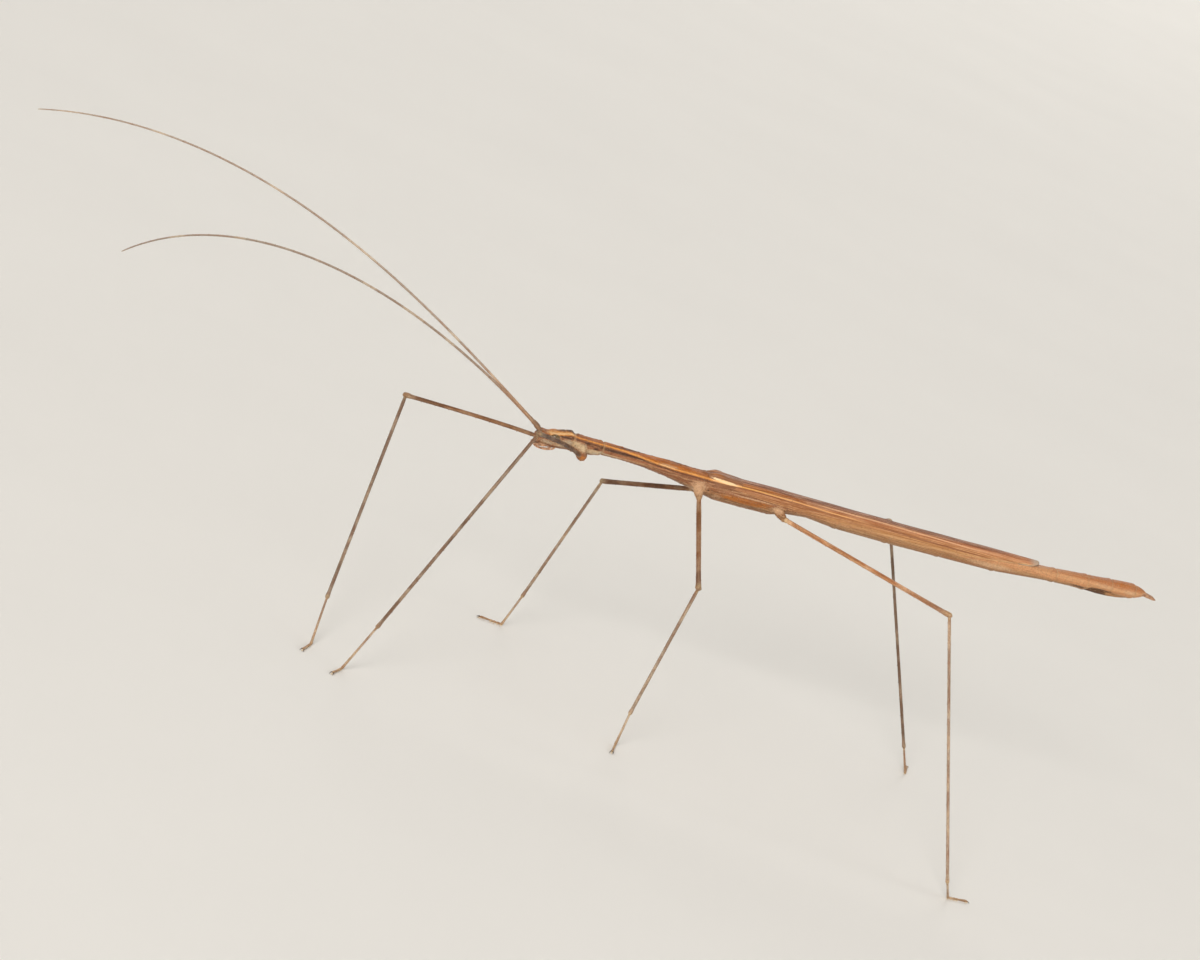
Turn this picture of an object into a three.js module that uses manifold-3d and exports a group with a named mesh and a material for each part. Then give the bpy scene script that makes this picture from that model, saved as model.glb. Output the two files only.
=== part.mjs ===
// A winged stick insect standing on six legs, life size, in millimetres.
// The head points along -X, the insect's left side faces -Y, and +Z is up.
// The body is lofted along a straight axis that rises towards the tail. A place
// on the body is a station (mm behind the front of the head), a side offset and
// a height over that axis. The legs and feelers are set by lengths and angles.
import * as THREE from 'three';
import { mergeVertices } from 'three/addons/utils/BufferGeometryUtils.js';
import Module from 'manifold-3d';

const wasm = await Module();
wasm.setup();

// ---- Driving dimensions -------------------------------------------------
const BODY_LENGTH = 80;
const AXIS_HEIGHT = 33.46; // height of the body's axis at its middle
const BODY_RISE = THREE.MathUtils.degToRad(5.82);
const SEAM = 0.08; // gap between neighbouring pieces
const FLOOR_CLEARANCE = 0.25; // height of the toes' middle line

const WING_THICKNESS = 0.52;
const TEGMEN_THICKNESS = 0.52;
const TEGMEN_START = 21.7;
const TEGMEN_END = 26.1;
const WING_END = 64.5;
const WING_SIDE_EDGE = -0.4; // height of the folded wing's lower edge
const WING_TIP_EDGE = 0.48;
const WING_NARROWS = 52; // station where the lower edge starts to climb

// Where one piece of the body ends and the next begins.
const NECK = 4.55;
const PRONOTUM_END = 8.15;
const MESOTHORAX_END = 21.4;
const METATHORAX_END = 31.9;
const ABDOMEN_FRONT_END = 46;
const ABDOMEN_MIDDLE_END = 60;
const ABDOMEN_REAR_END = 71;
const ABDOMEN_TIP_END = 78.9;

// The outline of head and trunk: station, top, bottom and half width.
const HEAD_OUTLINE = [
  [0, 0.95, -0.15, 0.45],
  [0.4, 1.25, -0.45, 0.8],
  [1.3, 1.28, -0.55, 1.05],
  [2.4, 1.55, -0.58, 1.18],
  [3.4, 1.84, -0.52, 1.15],
  [4.1, 1.95, -0.4, 0.98],
  [NECK, 1.8, -0.2, 0.75],
];
const TRUNK_OUTLINE = [
  [NECK, 1.76, -0.2, 0.85],
  [5.6, 1.68, -0.4, 1.02],
  [7.0, 1.62, -0.35, 1.0],
  [PRONOTUM_END, 1.6, -0.02, 0.82],
  [10.5, 1.5, 0.03, 0.85],
  [13.5, 1.38, -0.12, 0.95],
  [16.5, 1.4, -0.52, 1.1],
  [19.5, 1.24, -1.12, 1.32],
  [MESOTHORAX_END, 1.28, -1.5, 1.42],
  [23, 1.6, -1.84, 1.52],
  [TEGMEN_END, 1.38, -1.87, 1.6],
  [30, 1.38, -1.86, 1.58],
  [METATHORAX_END, 1.33, -1.3, 1.4],
  [34.5, 1.27, -1.08, 1.3],
  [38.5, 1.2, -1.52, 1.34],
  [46, 1.05, -1.66, 1.34],
  [53, 1.0, -1.66, 1.3],
  [59, 1.04, -1.66, 1.24],
  [WING_END, 1.0, -1.22, 1.08],
  [67, 0.98, -1.06, 0.95],
  [ABDOMEN_REAR_END, 1.28, -1.1, 1.05],
];
const TAIL_OUTLINE = [
  [ABDOMEN_REAR_END, 0.7, -0.62, 0.98],
  [73.5, 0.9, -0.6, 0.98],
  [76.3, 1.16, -0.5, 0.92],
  [77.6, 1.08, -0.34, 0.78],
  [ABDOMEN_TIP_END, 0.6, 0.1, 0.4],
];
const OPERCULUM_OUTLINE = [
  [ABDOMEN_REAR_END, -0.3, -0.98, 0.42],
  [72.6, -0.3, -1.14, 0.56],
  [74, -0.3, -1.18, 0.6],
  [76.4, -0.3, -0.98, 0.34],
];
const MOUTH_OUTLINE = [
  [-0.55, -0.35, -0.9, 0.3],
  [0.4, -0.1, -1.24, 0.62],
  [1.9, -0.1, -1.2, 0.66],
  [3.1, -0.1, -0.95, 0.4],
];
const EYE = { station: 2.15, side: 1.02, height: 0.72, radii: [0.62, 0.4, 0.52] };

// Legs: lengths for each pair, then the pose of each leg. A heading is turned
// outwards from straight ahead, and a rise is upwards, both in degrees.
const LEG_PAIRS = {
  fore: { femur: 23.4, bow: 0.6, tibia: 29.7, basitarsus: 6.5, toes: 3.2 },
  mid: { femur: 15.9, bow: 0, tibia: 19.6, basitarsus: 4.7, toes: 3.2 },
  hind: { femur: 24.1, bow: 0, tibia: 31.7, basitarsus: 4, toes: 3.2 },
};
// Each pair's hip is a place on the body, at the end of a tapered coxa.
const HIPS = {
  fore: { station: 6.1, side: 0.95, height: -0.98, coxaRadius: 0.78 },
  mid: { station: 20.9, side: 1.35, height: -1.6, coxaRadius: 0.62 },
  hind: { station: 31.7, side: 1.4, height: -1.6, coxaRadius: 0.6 },
};
const LEG_POSES = {
  fore_left: { femur: [58.6, 15.2], tibia: -27, ankle: 6.5, basitarsus: -28.9, toes: 60 },
  fore_right: { femur: [36.6, -10.1], tibia: -78.7, ankle: 4.6, basitarsus: -81, toes: -64 },
  mid_left: { femur: [88.8, -23.7], tibia: -99.1, ankle: 4.8, basitarsus: -108.5, toes: 71 },
  mid_right: { femur: [62.6, -23.7], tibia: 75.8, ankle: 4.8, basitarsus: 58.5, toes: 0 },
  hind_left: { femur: [136.2, 1], tibia: 152.6, ankle: 2.75, basitarsus: -129, toes: -161 },
  hind_right: { femur: [142.2, -0.1], tibia: 172, ankle: 3.6, basitarsus: 158, toes: 110 },
};
const LEG_SIDES = 8;
const FEMUR_RADIUS = 0.31;
const TIBIA_RADIUS = 0.25;
const TARSUS_RADIUS = 0.25;
const KNEE_RADIUS = 0.36;
const ANKLE_RADIUS = 0.29;
const PAD_RADIUS = 0.3;

// Feelers: heading and rise along the length, each bending as a parabola.
const ANTENNA_LENGTH = 70.7;
const ANTENNA_RADIUS = 0.25;
const SCAPE_LENGTH = 1.5;
const SCAPE_RADIUS = 0.34;
const ANTENNA_BASE = { station: 0.6, side: 0.42, height: 0.95 };
const ANTENNAE = {
  left: { heading: [11.9, 19.1, 23.2], rise: [27.1, -28.3, -13.5] },
  right: { heading: [28.4, -18.6, 10.4], rise: [21.5, -2.4, -42] },
};
const ANTENNA_LENGTHS = 4;
const STEPS_PER_LENGTH = 7;

const SIDE = { left: -1, right: 1 };
const UP = new THREE.Vector3(0, 0, 1);

// ---- Materials ----------------------------------------------------------
const finish = (color, roughness) => new THREE.MeshStandardMaterial({ color, roughness, metalness: 0 });
const CUTICLE = finish(0xb47a4c, 0.5);
const WING = finish(0xc08052, 0.5);
const LEG = finish(0xa98468, 0.55);
const FEELER = finish(0xb59a7c, 0.55);
const EYE_SHELL = finish(0x3a3424, 0.15);

// ---- Solid helpers ------------------------------------------------------
function closedGeometry(positions, triangles) {
  const geometry = new THREE.BufferGeometry();
  geometry.setAttribute('position', new THREE.Float32BufferAttribute(positions, 3));
  geometry.setIndex(triangles);
  if (signedVolume(geometry) < 0) {
    for (let i = 0; i < triangles.length; i += 3) {
      [triangles[i], triangles[i + 1]] = [triangles[i + 1], triangles[i]];
    }
    geometry.setIndex(triangles);
  }
  geometry.computeVertexNormals();
  return geometry;
}

function signedVolume(geometry) {
  const place = geometry.getAttribute('position');
  const index = geometry.getIndex();
  const corners = [new THREE.Vector3(), new THREE.Vector3(), new THREE.Vector3()];
  let sum = 0;
  for (let i = 0; i < index.count; i += 3) {
    corners.forEach((corner, k) => corner.fromBufferAttribute(place, index.getX(i + k)));
    sum += corners[0].dot(corners[1].clone().cross(corners[2]));
  }
  return sum / 6;
}

// Joins rings of equally many points into a solid with a fan over each end.
function loft(rings) {
  const count = rings[0].length;
  const positions = rings.flat().flatMap((p) => [p.x, p.y, p.z]);
  const triangles = [];
  for (let r = 0; r + 1 < rings.length; r += 1) {
    for (let i = 0; i < count; i += 1) {
      const a = r * count + i;
      const b = r * count + ((i + 1) % count);
      triangles.push(a, b, a + count, b, b + count, a + count);
    }
  }
  [0, rings.length - 1].forEach((r) => {
    const middle = new THREE.Vector3();
    rings[r].forEach((p) => middle.addScaledVector(p, 1 / count));
    const hub = positions.length / 3;
    positions.push(middle.x, middle.y, middle.z);
    for (let i = 0; i < count; i += 1) {
      const a = r * count + i;
      const b = r * count + ((i + 1) % count);
      if (r === 0) {
        triangles.push(b, a, hub);
      } else {
        triangles.push(a, b, hub);
      }
    }
  });
  return closedGeometry(positions, triangles);
}

function toManifold(geometry) {
  const bare = geometry.clone();
  bare.deleteAttribute('normal');
  bare.deleteAttribute('uv');
  const merged = mergeVertices(bare, 1e-5);
  const vertProperties = new Float32Array(merged.getAttribute('position').array);
  const triVerts = new Uint32Array(merged.getIndex().array);
  return new wasm.Manifold(new wasm.Mesh({ numProp: 3, vertProperties, triVerts }));
}

// The first solid without the space of the others; its largest piece is kept.
function carve(geometry, ...cutters) {
  let solid = toManifold(geometry);
  cutters.forEach((cutter) => {
    solid = solid.subtract(toManifold(cutter));
  });
  const pieces = solid.decompose().sort((a, b) => b.volume() - a.volume());
  const mesh = pieces[0].getMesh();
  return closedGeometry(Array.from(mesh.vertProperties), Array.from(mesh.triVerts));
}

function node(name, geometry, material) {
  const mesh = new THREE.Mesh(geometry, material);
  mesh.name = name;
  return mesh;
}

// ---- Body ---------------------------------------------------------------
// In the body's own group X runs from the middle of the body to the tail.
const onBody = (station, side, height) => new THREE.Vector3(station - BODY_LENGTH / 2, side, height);

// The outline at one station, eased between the rows of the table.
function outlineAt(outline, station) {
  const last = outline.length - 1;
  let row = 0;
  while (row < last - 1 && station > outline[row + 1][0]) {
    row += 1;
  }
  const [from, to] = [outline[row], outline[row + 1]];
  const t = THREE.MathUtils.clamp((station - from[0]) / (to[0] - from[0]), 0, 1);
  const [, top, bottom, half] = from.map((value, k) => THREE.MathUtils.lerp(value, to[k], t));
  return { top, bottom, half };
}

// A section of the trunk: an ellipse with its middle between top and bottom.
function section(outline, station, grow, sides = 16) {
  const { top, bottom, half } = outlineAt(outline, station);
  const middle = (top + bottom) / 2;
  const tall = (top - bottom) / 2 + grow;
  const ring = [];
  for (let i = 0; i < sides; i += 1) {
    const angle = (2 * Math.PI * (i + 0.5)) / sides;
    ring.push(onBody(station, (half + grow) * Math.sin(angle), middle + tall * Math.cos(angle)));
  }
  return ring;
}

// Stations from one end to the other: every row between, and no long gaps.
function stationsOf(outline, start, end, longest = 2.4) {
  const marks = [start, ...outline.map((row) => row[0]).filter((s) => s > start + 0.3 && s < end - 0.3), end];
  return marks.flatMap((mark, i) => {
    if (i === 0) {
      return [mark];
    }
    const steps = Math.ceil((mark - marks[i - 1]) / longest);
    return Array.from({ length: steps }, (_, k) => THREE.MathUtils.lerp(marks[i - 1], mark, (k + 1) / steps));
  });
}

function trunk(outline, start, end, grow = 0) {
  const rings = stationsOf(outline, start, end).map((station) => section(outline, station, grow));
  return loft(rings);
}

// Height of the wing's or wing cover's lower edge at one station.
function wingEdge(station) {
  const climb = THREE.MathUtils.smoothstep(station, WING_NARROWS, WING_END);
  return THREE.MathUtils.lerp(WING_SIDE_EDGE, WING_TIP_EDGE, climb);
}

function tegmenEdge(station) {
  const along = (station - TEGMEN_START) / (TEGMEN_END - TEGMEN_START);
  return 1.15 - 0.75 * Math.sin(Math.PI * Math.min(1, 0.2 + 0.8 * along));
}

// One side's layer over the trunk: a curved plate from beside the middle line
// of the back down to its lower edge.
function plate(side, start, end, thickness, edgeAt, grow = 0) {
  const across = 5;
  const rings = stationsOf(TRUNK_OUTLINE, start, end, 3.6).map((station) => {
    const { top, bottom, half } = outlineAt(TRUNK_OUTLINE, station);
    const middle = (top + bottom) / 2;
    const tall = (top - bottom) / 2;
    const low = Math.acos(THREE.MathUtils.clamp((edgeAt(station) - grow - middle) / tall, -1, 1));
    const high = Math.asin(SEAM / 2 / half);
    const at = (t, depth) => {
      const angle = THREE.MathUtils.lerp(grow ? -high : high, low, t);
      const y = (half - depth) * Math.sin(angle);
      return onBody(station, side * y, middle + (tall - depth) * Math.cos(angle));
    };
    const outer = Array.from({ length: across + 1 }, (_, i) => at(i / across, -grow));
    const inner = Array.from({ length: across + 1 }, (_, i) => at(1 - i / across, thickness + grow));
    return [...outer, ...inner];
  });
  return loft(rings);
}

const body = new THREE.Group();
body.position.z = AXIS_HEIGHT;
body.rotation.y = -BODY_RISE;

const headSolid = loft(HEAD_OUTLINE.map((row) => section(HEAD_OUTLINE, row[0], 0)));
const grownHead = loft(HEAD_OUTLINE.map((row) => section(HEAD_OUTLINE, row[0], SEAM)));
body.add(node('head', headSolid, CUTICLE));
body.add(node('mouthparts', carve(trunk(MOUTH_OUTLINE, -0.55, 3.1), grownHead), CUTICLE));

// Both wings and both wing covers take their room out of the trunk below them.
const wingRoom = ['left', 'right'].flatMap((name) => [
  plate(SIDE[name], TEGMEN_START - SEAM, TEGMEN_END + SEAM, TEGMEN_THICKNESS, tegmenEdge, SEAM),
  plate(SIDE[name], TEGMEN_END, WING_END + 6.6, WING_THICKNESS, wingEdge, SEAM),
]);
const TRUNK_PIECES = [
  ['prothorax', NECK + SEAM, PRONOTUM_END],
  ['mesothorax', PRONOTUM_END + SEAM, MESOTHORAX_END],
  ['metathorax', MESOTHORAX_END + SEAM, METATHORAX_END],
  ['abdomen_front', METATHORAX_END + SEAM, ABDOMEN_FRONT_END],
  ['abdomen_middle', ABDOMEN_FRONT_END + SEAM, ABDOMEN_MIDDLE_END],
  ['abdomen_rear', ABDOMEN_MIDDLE_END + SEAM, ABDOMEN_REAR_END],
];
TRUNK_PIECES.forEach(([name, start, end]) => {
  const solid = trunk(TRUNK_OUTLINE, start, end);
  const geometry = end > TEGMEN_START ? carve(solid, ...wingRoom) : solid;
  body.add(node(name, geometry, CUTICLE));
});

const tailSolid = trunk(TAIL_OUTLINE, ABDOMEN_REAR_END + SEAM, ABDOMEN_TIP_END);
const grownTail = trunk(TAIL_OUTLINE, ABDOMEN_REAR_END, ABDOMEN_TIP_END, SEAM);
body.add(node('abdomen_tip', tailSolid, CUTICLE));
const operculumSolid = trunk(OPERCULUM_OUTLINE, ABDOMEN_REAR_END + SEAM, 76.4);
body.add(node('operculum', carve(operculumSolid, grownTail), CUTICLE));

// A tapered tube through a list of points, with a radius at each of them. Its
// sides are carried from ring to ring without a twist.
function tube(points, radii, sides = LEG_SIDES, shape = (p) => p) {
  const across = new THREE.Vector3();
  const rings = points.map((point, i) => {
    const before = points[Math.max(i - 1, 0)];
    const after = points[Math.min(i + 1, points.length - 1)];
    const along = after.clone().sub(before).normalize();
    if (i === 0) {
      across.crossVectors(along, UP);
    } else {
      across.addScaledVector(along, -across.dot(along));
    }
    across.normalize();
    const over = across.clone().cross(along);
    return Array.from({ length: sides }, (_, k) => {
      const angle = (2 * Math.PI * (k + 0.5)) / sides;
      const rim = point.clone();
      rim.addScaledVector(across, radii[i] * Math.cos(angle));
      rim.addScaledVector(over, radii[i] * Math.sin(angle));
      return shape(rim);
    });
  });
  return loft(rings);
}

const grownTrunk = [trunk(TRUNK_OUTLINE, NECK, 40, SEAM)];

['left', 'right'].forEach((name) => {
  const side = SIDE[name];
  body.add(node(`tegmen_${name}`, plate(side, TEGMEN_START, TEGMEN_END, TEGMEN_THICKNESS, tegmenEdge), WING));
  const wing = plate(side, TEGMEN_END + SEAM, WING_END, WING_THICKNESS, wingEdge);
  body.add(node(`hindwing_${name}`, wing, WING));

  const eye = new THREE.SphereGeometry(1, 16, 12);
  eye.scale(...EYE.radii);
  const eyeSpot = onBody(EYE.station, side * EYE.side, EYE.height);
  eye.translate(eyeSpot.x, eyeSpot.y, eyeSpot.z);
  body.add(node(`eye_${name}`, carve(eye, grownHead), EYE_SHELL));

  const cercus = [
    onBody(77.9, side * 0.3, 0.3),
    onBody(79, side * 0.31, 0.18),
    onBody(BODY_LENGTH, side * 0.3, 0.02),
  ];
  body.add(node(`cercus_${name}`, carve(tube(cercus, [0.26, 0.26, 0.14]), grownTail), CUTICLE));
});

// ---- Legs and feelers ---------------------------------------------------
const limbs = new THREE.Group();
body.updateMatrixWorld(true);
const toLimbs = (place) => place.clone().applyMatrix4(body.matrixWorld);
const toBody = (place) => place.clone().applyMatrix4(body.matrixWorld.clone().invert());

function direction(side, heading, rise) {
  const turn = THREE.MathUtils.degToRad(heading);
  const lift = THREE.MathUtils.degToRad(rise);
  return new THREE.Vector3(
    -Math.cos(lift) * Math.cos(turn),
    side * Math.cos(lift) * Math.sin(turn),
    Math.sin(lift),
  );
}

// The far end of a length that starts at a place and drops to a given height.
function dropTo(start, length, side, heading, height) {
  const rise = THREE.MathUtils.radToDeg(Math.asin((height - start.z) / length));
  return start.clone().addScaledVector(direction(side, heading, rise), length);
}

// A rod between two joints, left short at its start, with a rounded far knob.
// A bow lifts its middle, most of all towards the start.
function rod(start, end, radius, skip, knob, bow = 0) {
  const along = end.clone().sub(start);
  const length = along.length();
  along.normalize();
  const at = (distance) => {
    const place = start.clone().addScaledVector(along, distance);
    const part = THREE.MathUtils.clamp(distance / length, 0, 1);
    place.z += bow * Math.sin(Math.PI * part ** 0.75);
    return place;
  };
  const points = [
    at(skip),
    at(skip + 0.3),
    at(length * 0.2),
    at(length * 0.45),
    at(length * 0.7),
    at(length - 1.1 * knob),
    at(length - 0.5 * knob),
    at(length + 0.3 * knob),
    at(length + 0.85 * knob),
  ];
  const shaft = points.slice(2, 6).map(() => radius);
  const radii = [0.8 * radius, radius, ...shaft, 0.9 * knob, 0.95 * knob, 0.45 * knob];
  return tube(points, radii);
}

function addLeg(pairName, sideName) {
  const side = SIDE[sideName];
  const pair = LEG_PAIRS[pairName];
  const pose = LEG_POSES[`${pairName}_${sideName}`];
  const label = (piece) => `${piece}_${pairName}_${sideName}`;

  const joint = HIPS[pairName];
  const hip = onBody(joint.station, side * joint.side, joint.height);
  const root = onBody(joint.station - 0.6, side * 0.5 * joint.side, joint.height + 1.5);
  const coxaRadii = [joint.coxaRadius, 0.9 * joint.coxaRadius, FEMUR_RADIUS + 0.04];
  const coxa = tube([root, root.clone().lerp(hip, 0.6), hip], coxaRadii);
  body.add(node(label('coxa'), carve(coxa, ...grownTrunk), CUTICLE));

  const start = toLimbs(hip);
  const knee = start.clone().addScaledVector(direction(side, ...pose.femur), pair.femur);
  const ankle = dropTo(knee, pair.tibia, side, pose.tibia, pose.ankle);
  const heel = dropTo(ankle, pair.basitarsus, side, pose.basitarsus, FLOOR_CLEARANCE);
  const toe = dropTo(heel, pair.toes, side, pose.toes, FLOOR_CLEARANCE);
  const femur = rod(start, knee, FEMUR_RADIUS, 0.5, KNEE_RADIUS, pair.bow);
  const tibia = rod(knee, ankle, TIBIA_RADIUS, KNEE_RADIUS + 0.12, ANKLE_RADIUS);
  limbs.add(node(label('femur'), femur, LEG));
  limbs.add(node(label('tibia'), tibia, LEG));

  const outset = heel.clone().sub(ankle).setLength(ANKLE_RADIUS + 0.1);
  const footStart = ankle.clone().add(outset);
  const bend = 0.5;
  const before = heel.clone().add(ankle.clone().sub(heel).setLength(bend));
  const after = heel.clone().add(toe.clone().sub(heel).setLength(bend));
  const turn = before.clone().add(after).multiplyScalar(0.25).addScaledVector(heel, 0.5);
  turn.z = Math.max(turn.z, FLOOR_CLEARANCE);
  const path = [footStart, before, turn, after, after.clone().lerp(toe, 0.5), toe];
  const radii = [0.9 * TARSUS_RADIUS, TARSUS_RADIUS, PAD_RADIUS, PAD_RADIUS, PAD_RADIUS, 0.8 * PAD_RADIUS];
  const flattened = (rim) => rim.setZ(rim.z < 0.08 ? 0 : rim.z);
  limbs.add(node(label('tarsus'), tube(path, radii, LEG_SIDES, flattened), LEG));
}

['fore', 'mid', 'hind'].forEach((pairName) => {
  addLeg(pairName, 'left');
  addLeg(pairName, 'right');
});

function addAntenna(sideName) {
  const side = SIDE[sideName];
  const bend = ANTENNAE[sideName];
  const curveAt = ([first, second, third], t) => first + second * t + third * t * t;
  const base = onBody(ANTENNA_BASE.station, side * ANTENNA_BASE.side, ANTENNA_BASE.height);
  const steps = ANTENNA_LENGTHS * STEPS_PER_LENGTH;
  const stride = ANTENNA_LENGTH / steps;
  const first = direction(side, bend.heading[0], bend.rise[0]);

  const scapeRoot = toLimbs(base).addScaledVector(first, -0.5);
  const scapeEnd = toLimbs(base).addScaledVector(first, SCAPE_LENGTH);
  const scape = tube([toBody(scapeRoot), toBody(scapeEnd)], [SCAPE_RADIUS, 0.85 * SCAPE_RADIUS]);
  body.add(node(`antenna_${sideName}_base`, carve(scape, grownHead), CUTICLE));

  const path = [scapeEnd.clone().addScaledVector(first, SEAM)];
  for (let i = 0; i < steps; i += 1) {
    const t = (i + 0.5) / steps;
    const heading = direction(side, curveAt(bend.heading, t), curveAt(bend.rise, t));
    path.push(path[i].clone().addScaledVector(heading, stride));
  }
  for (let length = 0; length < ANTENNA_LENGTHS; length += 1) {
    const from = length * STEPS_PER_LENGTH;
    const points = path.slice(from, from + STEPS_PER_LENGTH + 1);
    if (length > 0) {
      points[0] = points[0].clone().lerp(points[1], SEAM / stride);
    }
    limbs.add(node(`antenna_${sideName}_${length + 1}`, tube(points, points.map(() => ANTENNA_RADIUS), 6), FEELER));
  }
}

addAntenna('left');
addAntenna('right');

// ---- The whole insect, centred over its own footprint --------------------
const insect = new THREE.Group();
insect.add(body, limbs);
insect.updateMatrixWorld(true);
const bounds = new THREE.Box3().setFromObject(insect, true);
const centre = bounds.getCenter(new THREE.Vector3());
insect.position.set(-centre.x, -centre.y, 0);

export default insect;
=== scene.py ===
"""A winged stick insect: one skin, wings, legs, feelers, eyes, claws and fine hairs.

Shapes are worked out in millimetres in the row frame and built in metres. A place on the
body is a station (mm behind the front of the head), a side offset (right is +Y) and a
height over the body's axis. Every surface carries its own local place as "lie".
"""

import math
from functools import partial

import bpy
import numpy as np
from mathutils import Matrix, Vector


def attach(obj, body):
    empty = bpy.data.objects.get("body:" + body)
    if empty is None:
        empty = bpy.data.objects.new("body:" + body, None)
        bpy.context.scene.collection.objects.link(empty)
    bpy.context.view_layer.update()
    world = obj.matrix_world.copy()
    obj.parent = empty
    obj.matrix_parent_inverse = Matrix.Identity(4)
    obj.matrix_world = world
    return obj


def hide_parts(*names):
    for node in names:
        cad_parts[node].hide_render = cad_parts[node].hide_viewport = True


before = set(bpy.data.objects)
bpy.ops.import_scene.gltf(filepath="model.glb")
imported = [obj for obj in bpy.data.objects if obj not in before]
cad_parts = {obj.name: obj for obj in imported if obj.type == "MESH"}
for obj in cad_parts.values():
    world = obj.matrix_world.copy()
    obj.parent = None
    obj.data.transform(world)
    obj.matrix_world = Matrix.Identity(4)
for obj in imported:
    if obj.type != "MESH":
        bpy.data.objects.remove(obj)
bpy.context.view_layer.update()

MM = 0.001
SIDES = {"left": -1, "right": 1}
UP = np.array([0.0, 0.0, 1.0])
TURN = 2 * np.pi
chance = np.random.default_rng(11)

# ---- The body ----
BODY_LENGTH = 80.0
AXIS_HEIGHT = 33.46
BODY_RISE = math.radians(5.82)
CENTRING = np.array([32.0245, 3.1074, 0.0])

# Outline of head and trunk: station, top, bottom, half width.
OUTLINE = [
    (-0.12, 0.62, 0.30, 0.12), (0.0, 0.90, 0.00, 0.38), (0.4, 1.24, -0.43, 0.78),
    (1.3, 1.27, -0.54, 1.03), (2.4, 1.53, -0.57, 1.16), (3.4, 1.82, -0.51, 1.13),
    (4.05, 1.93, -0.40, 0.98), (4.40, 1.74, -0.24, 0.76), (4.62, 1.60, -0.14, 0.70),
    (4.90, 1.72, -0.22, 0.88), (5.6, 1.68, -0.40, 1.01), (7.0, 1.62, -0.35, 1.00),
    (8.15, 1.60, -0.02, 0.82), (10.5, 1.50, 0.03, 0.85), (13.5, 1.38, -0.12, 0.95),
    (16.5, 1.40, -0.52, 1.10), (19.5, 1.24, -1.12, 1.32), (21.4, 1.28, -1.50, 1.42),
    (23.0, 1.50, -1.84, 1.52), (26.1, 1.38, -1.87, 1.60), (30.0, 1.38, -1.86, 1.58),
    (31.9, 1.33, -1.30, 1.40), (34.5, 1.27, -1.08, 1.30), (38.5, 1.20, -1.52, 1.34),
    (46.0, 1.05, -1.66, 1.34), (53.0, 1.00, -1.66, 1.30), (59.0, 0.98, -1.66, 1.24),
    (62.0, 0.70, -1.42, 1.15), (64.5, 0.46, -1.22, 1.07), (66.0, 0.50, -1.12, 1.00),
    (69.0, 0.72, -1.04, 0.98), (71.0, 0.84, -1.06, 1.02), (71.6, 0.84, -0.64, 0.97),
    (74.0, 1.02, -0.64, 0.97), (75.2, 1.11, -0.72, 0.96), (76.3, 1.18, -0.74, 0.92),
    (77.3, 1.10, -0.56, 0.80), (78.2, 0.86, -0.20, 0.60), (78.8, 0.55, 0.12, 0.32),
    (78.95, 0.42, 0.24, 0.10),
]
GENITAL_PLATE = [
    (70.9, -0.45, -1.04, 0.50), (72.6, -0.46, -1.12, 0.56), (74.0, -0.48, -1.10, 0.50),
    (75.3, -0.52, -0.98, 0.36), (76.1, -0.58, -0.84, 0.20), (76.5, -0.64, -0.74, 0.05),
]
# Ends of the head and of the three parts of the thorax, with the depth of the groove there.
THORAX_JOINTS = [(4.45, 0.03), (8.15, 0.11), (21.4, 0.06), (31.9, 0.05)]
ABDOMEN_JOINTS = [38.6, 45.2, 52.0, 59.2, 66.9, 71.0, 74.1, 77.3]

# Lines along the side: station, height.
WING_TOP = [
    (26.1, 1.38), (30.0, 1.38), (34.5, 1.27), (46.0, 1.05), (53.0, 1.00), (57.0, 0.99),
    (61.0, 0.94), (64.5, 0.86),
]
SIDE_STRIPE = [
    (0.9, 1.10), (1.6, 1.20), (2.5, 1.36), (4.0, 1.68), (4.6, 1.46), (5.2, 1.44), (8.2, 1.38),
    (11.0, 1.28), (13.0, 1.12), (15.0, 0.96), (17.5, 0.82), (19.5, 0.82), (22.0, 0.78),
    (25.0, 0.86), (28.0, 0.88), (31.0, 0.80), (33.0, 0.74), (36.0, 0.60), (39.4, 0.50), (45.0, 0.30),
]
PINK_LINE = [(30.0, 1.10), (35.3, 0.98), (44.0, 0.85), (55.3, 0.60), (60.0, 0.62), (64.5, 0.80)]
DARK_LINE = [(36.0, 0.50), (42.0, 0.36), (46.7, 0.28), (53.0, 0.12), (57.6, 0.06), (62.0, 0.30)]
WING_EDGE = [
    (22.2, 0.95), (24.0, 0.45), (26.0, 0.20), (28.0, 0.05), (31.0, -0.10), (36.0, -0.30),
    (44.0, -0.42), (49.0, -0.56), (53.0, -0.44), (57.6, -0.16), (60.5, 0.14), (62.3, 0.36), (64.6, 0.50),
]

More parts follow.
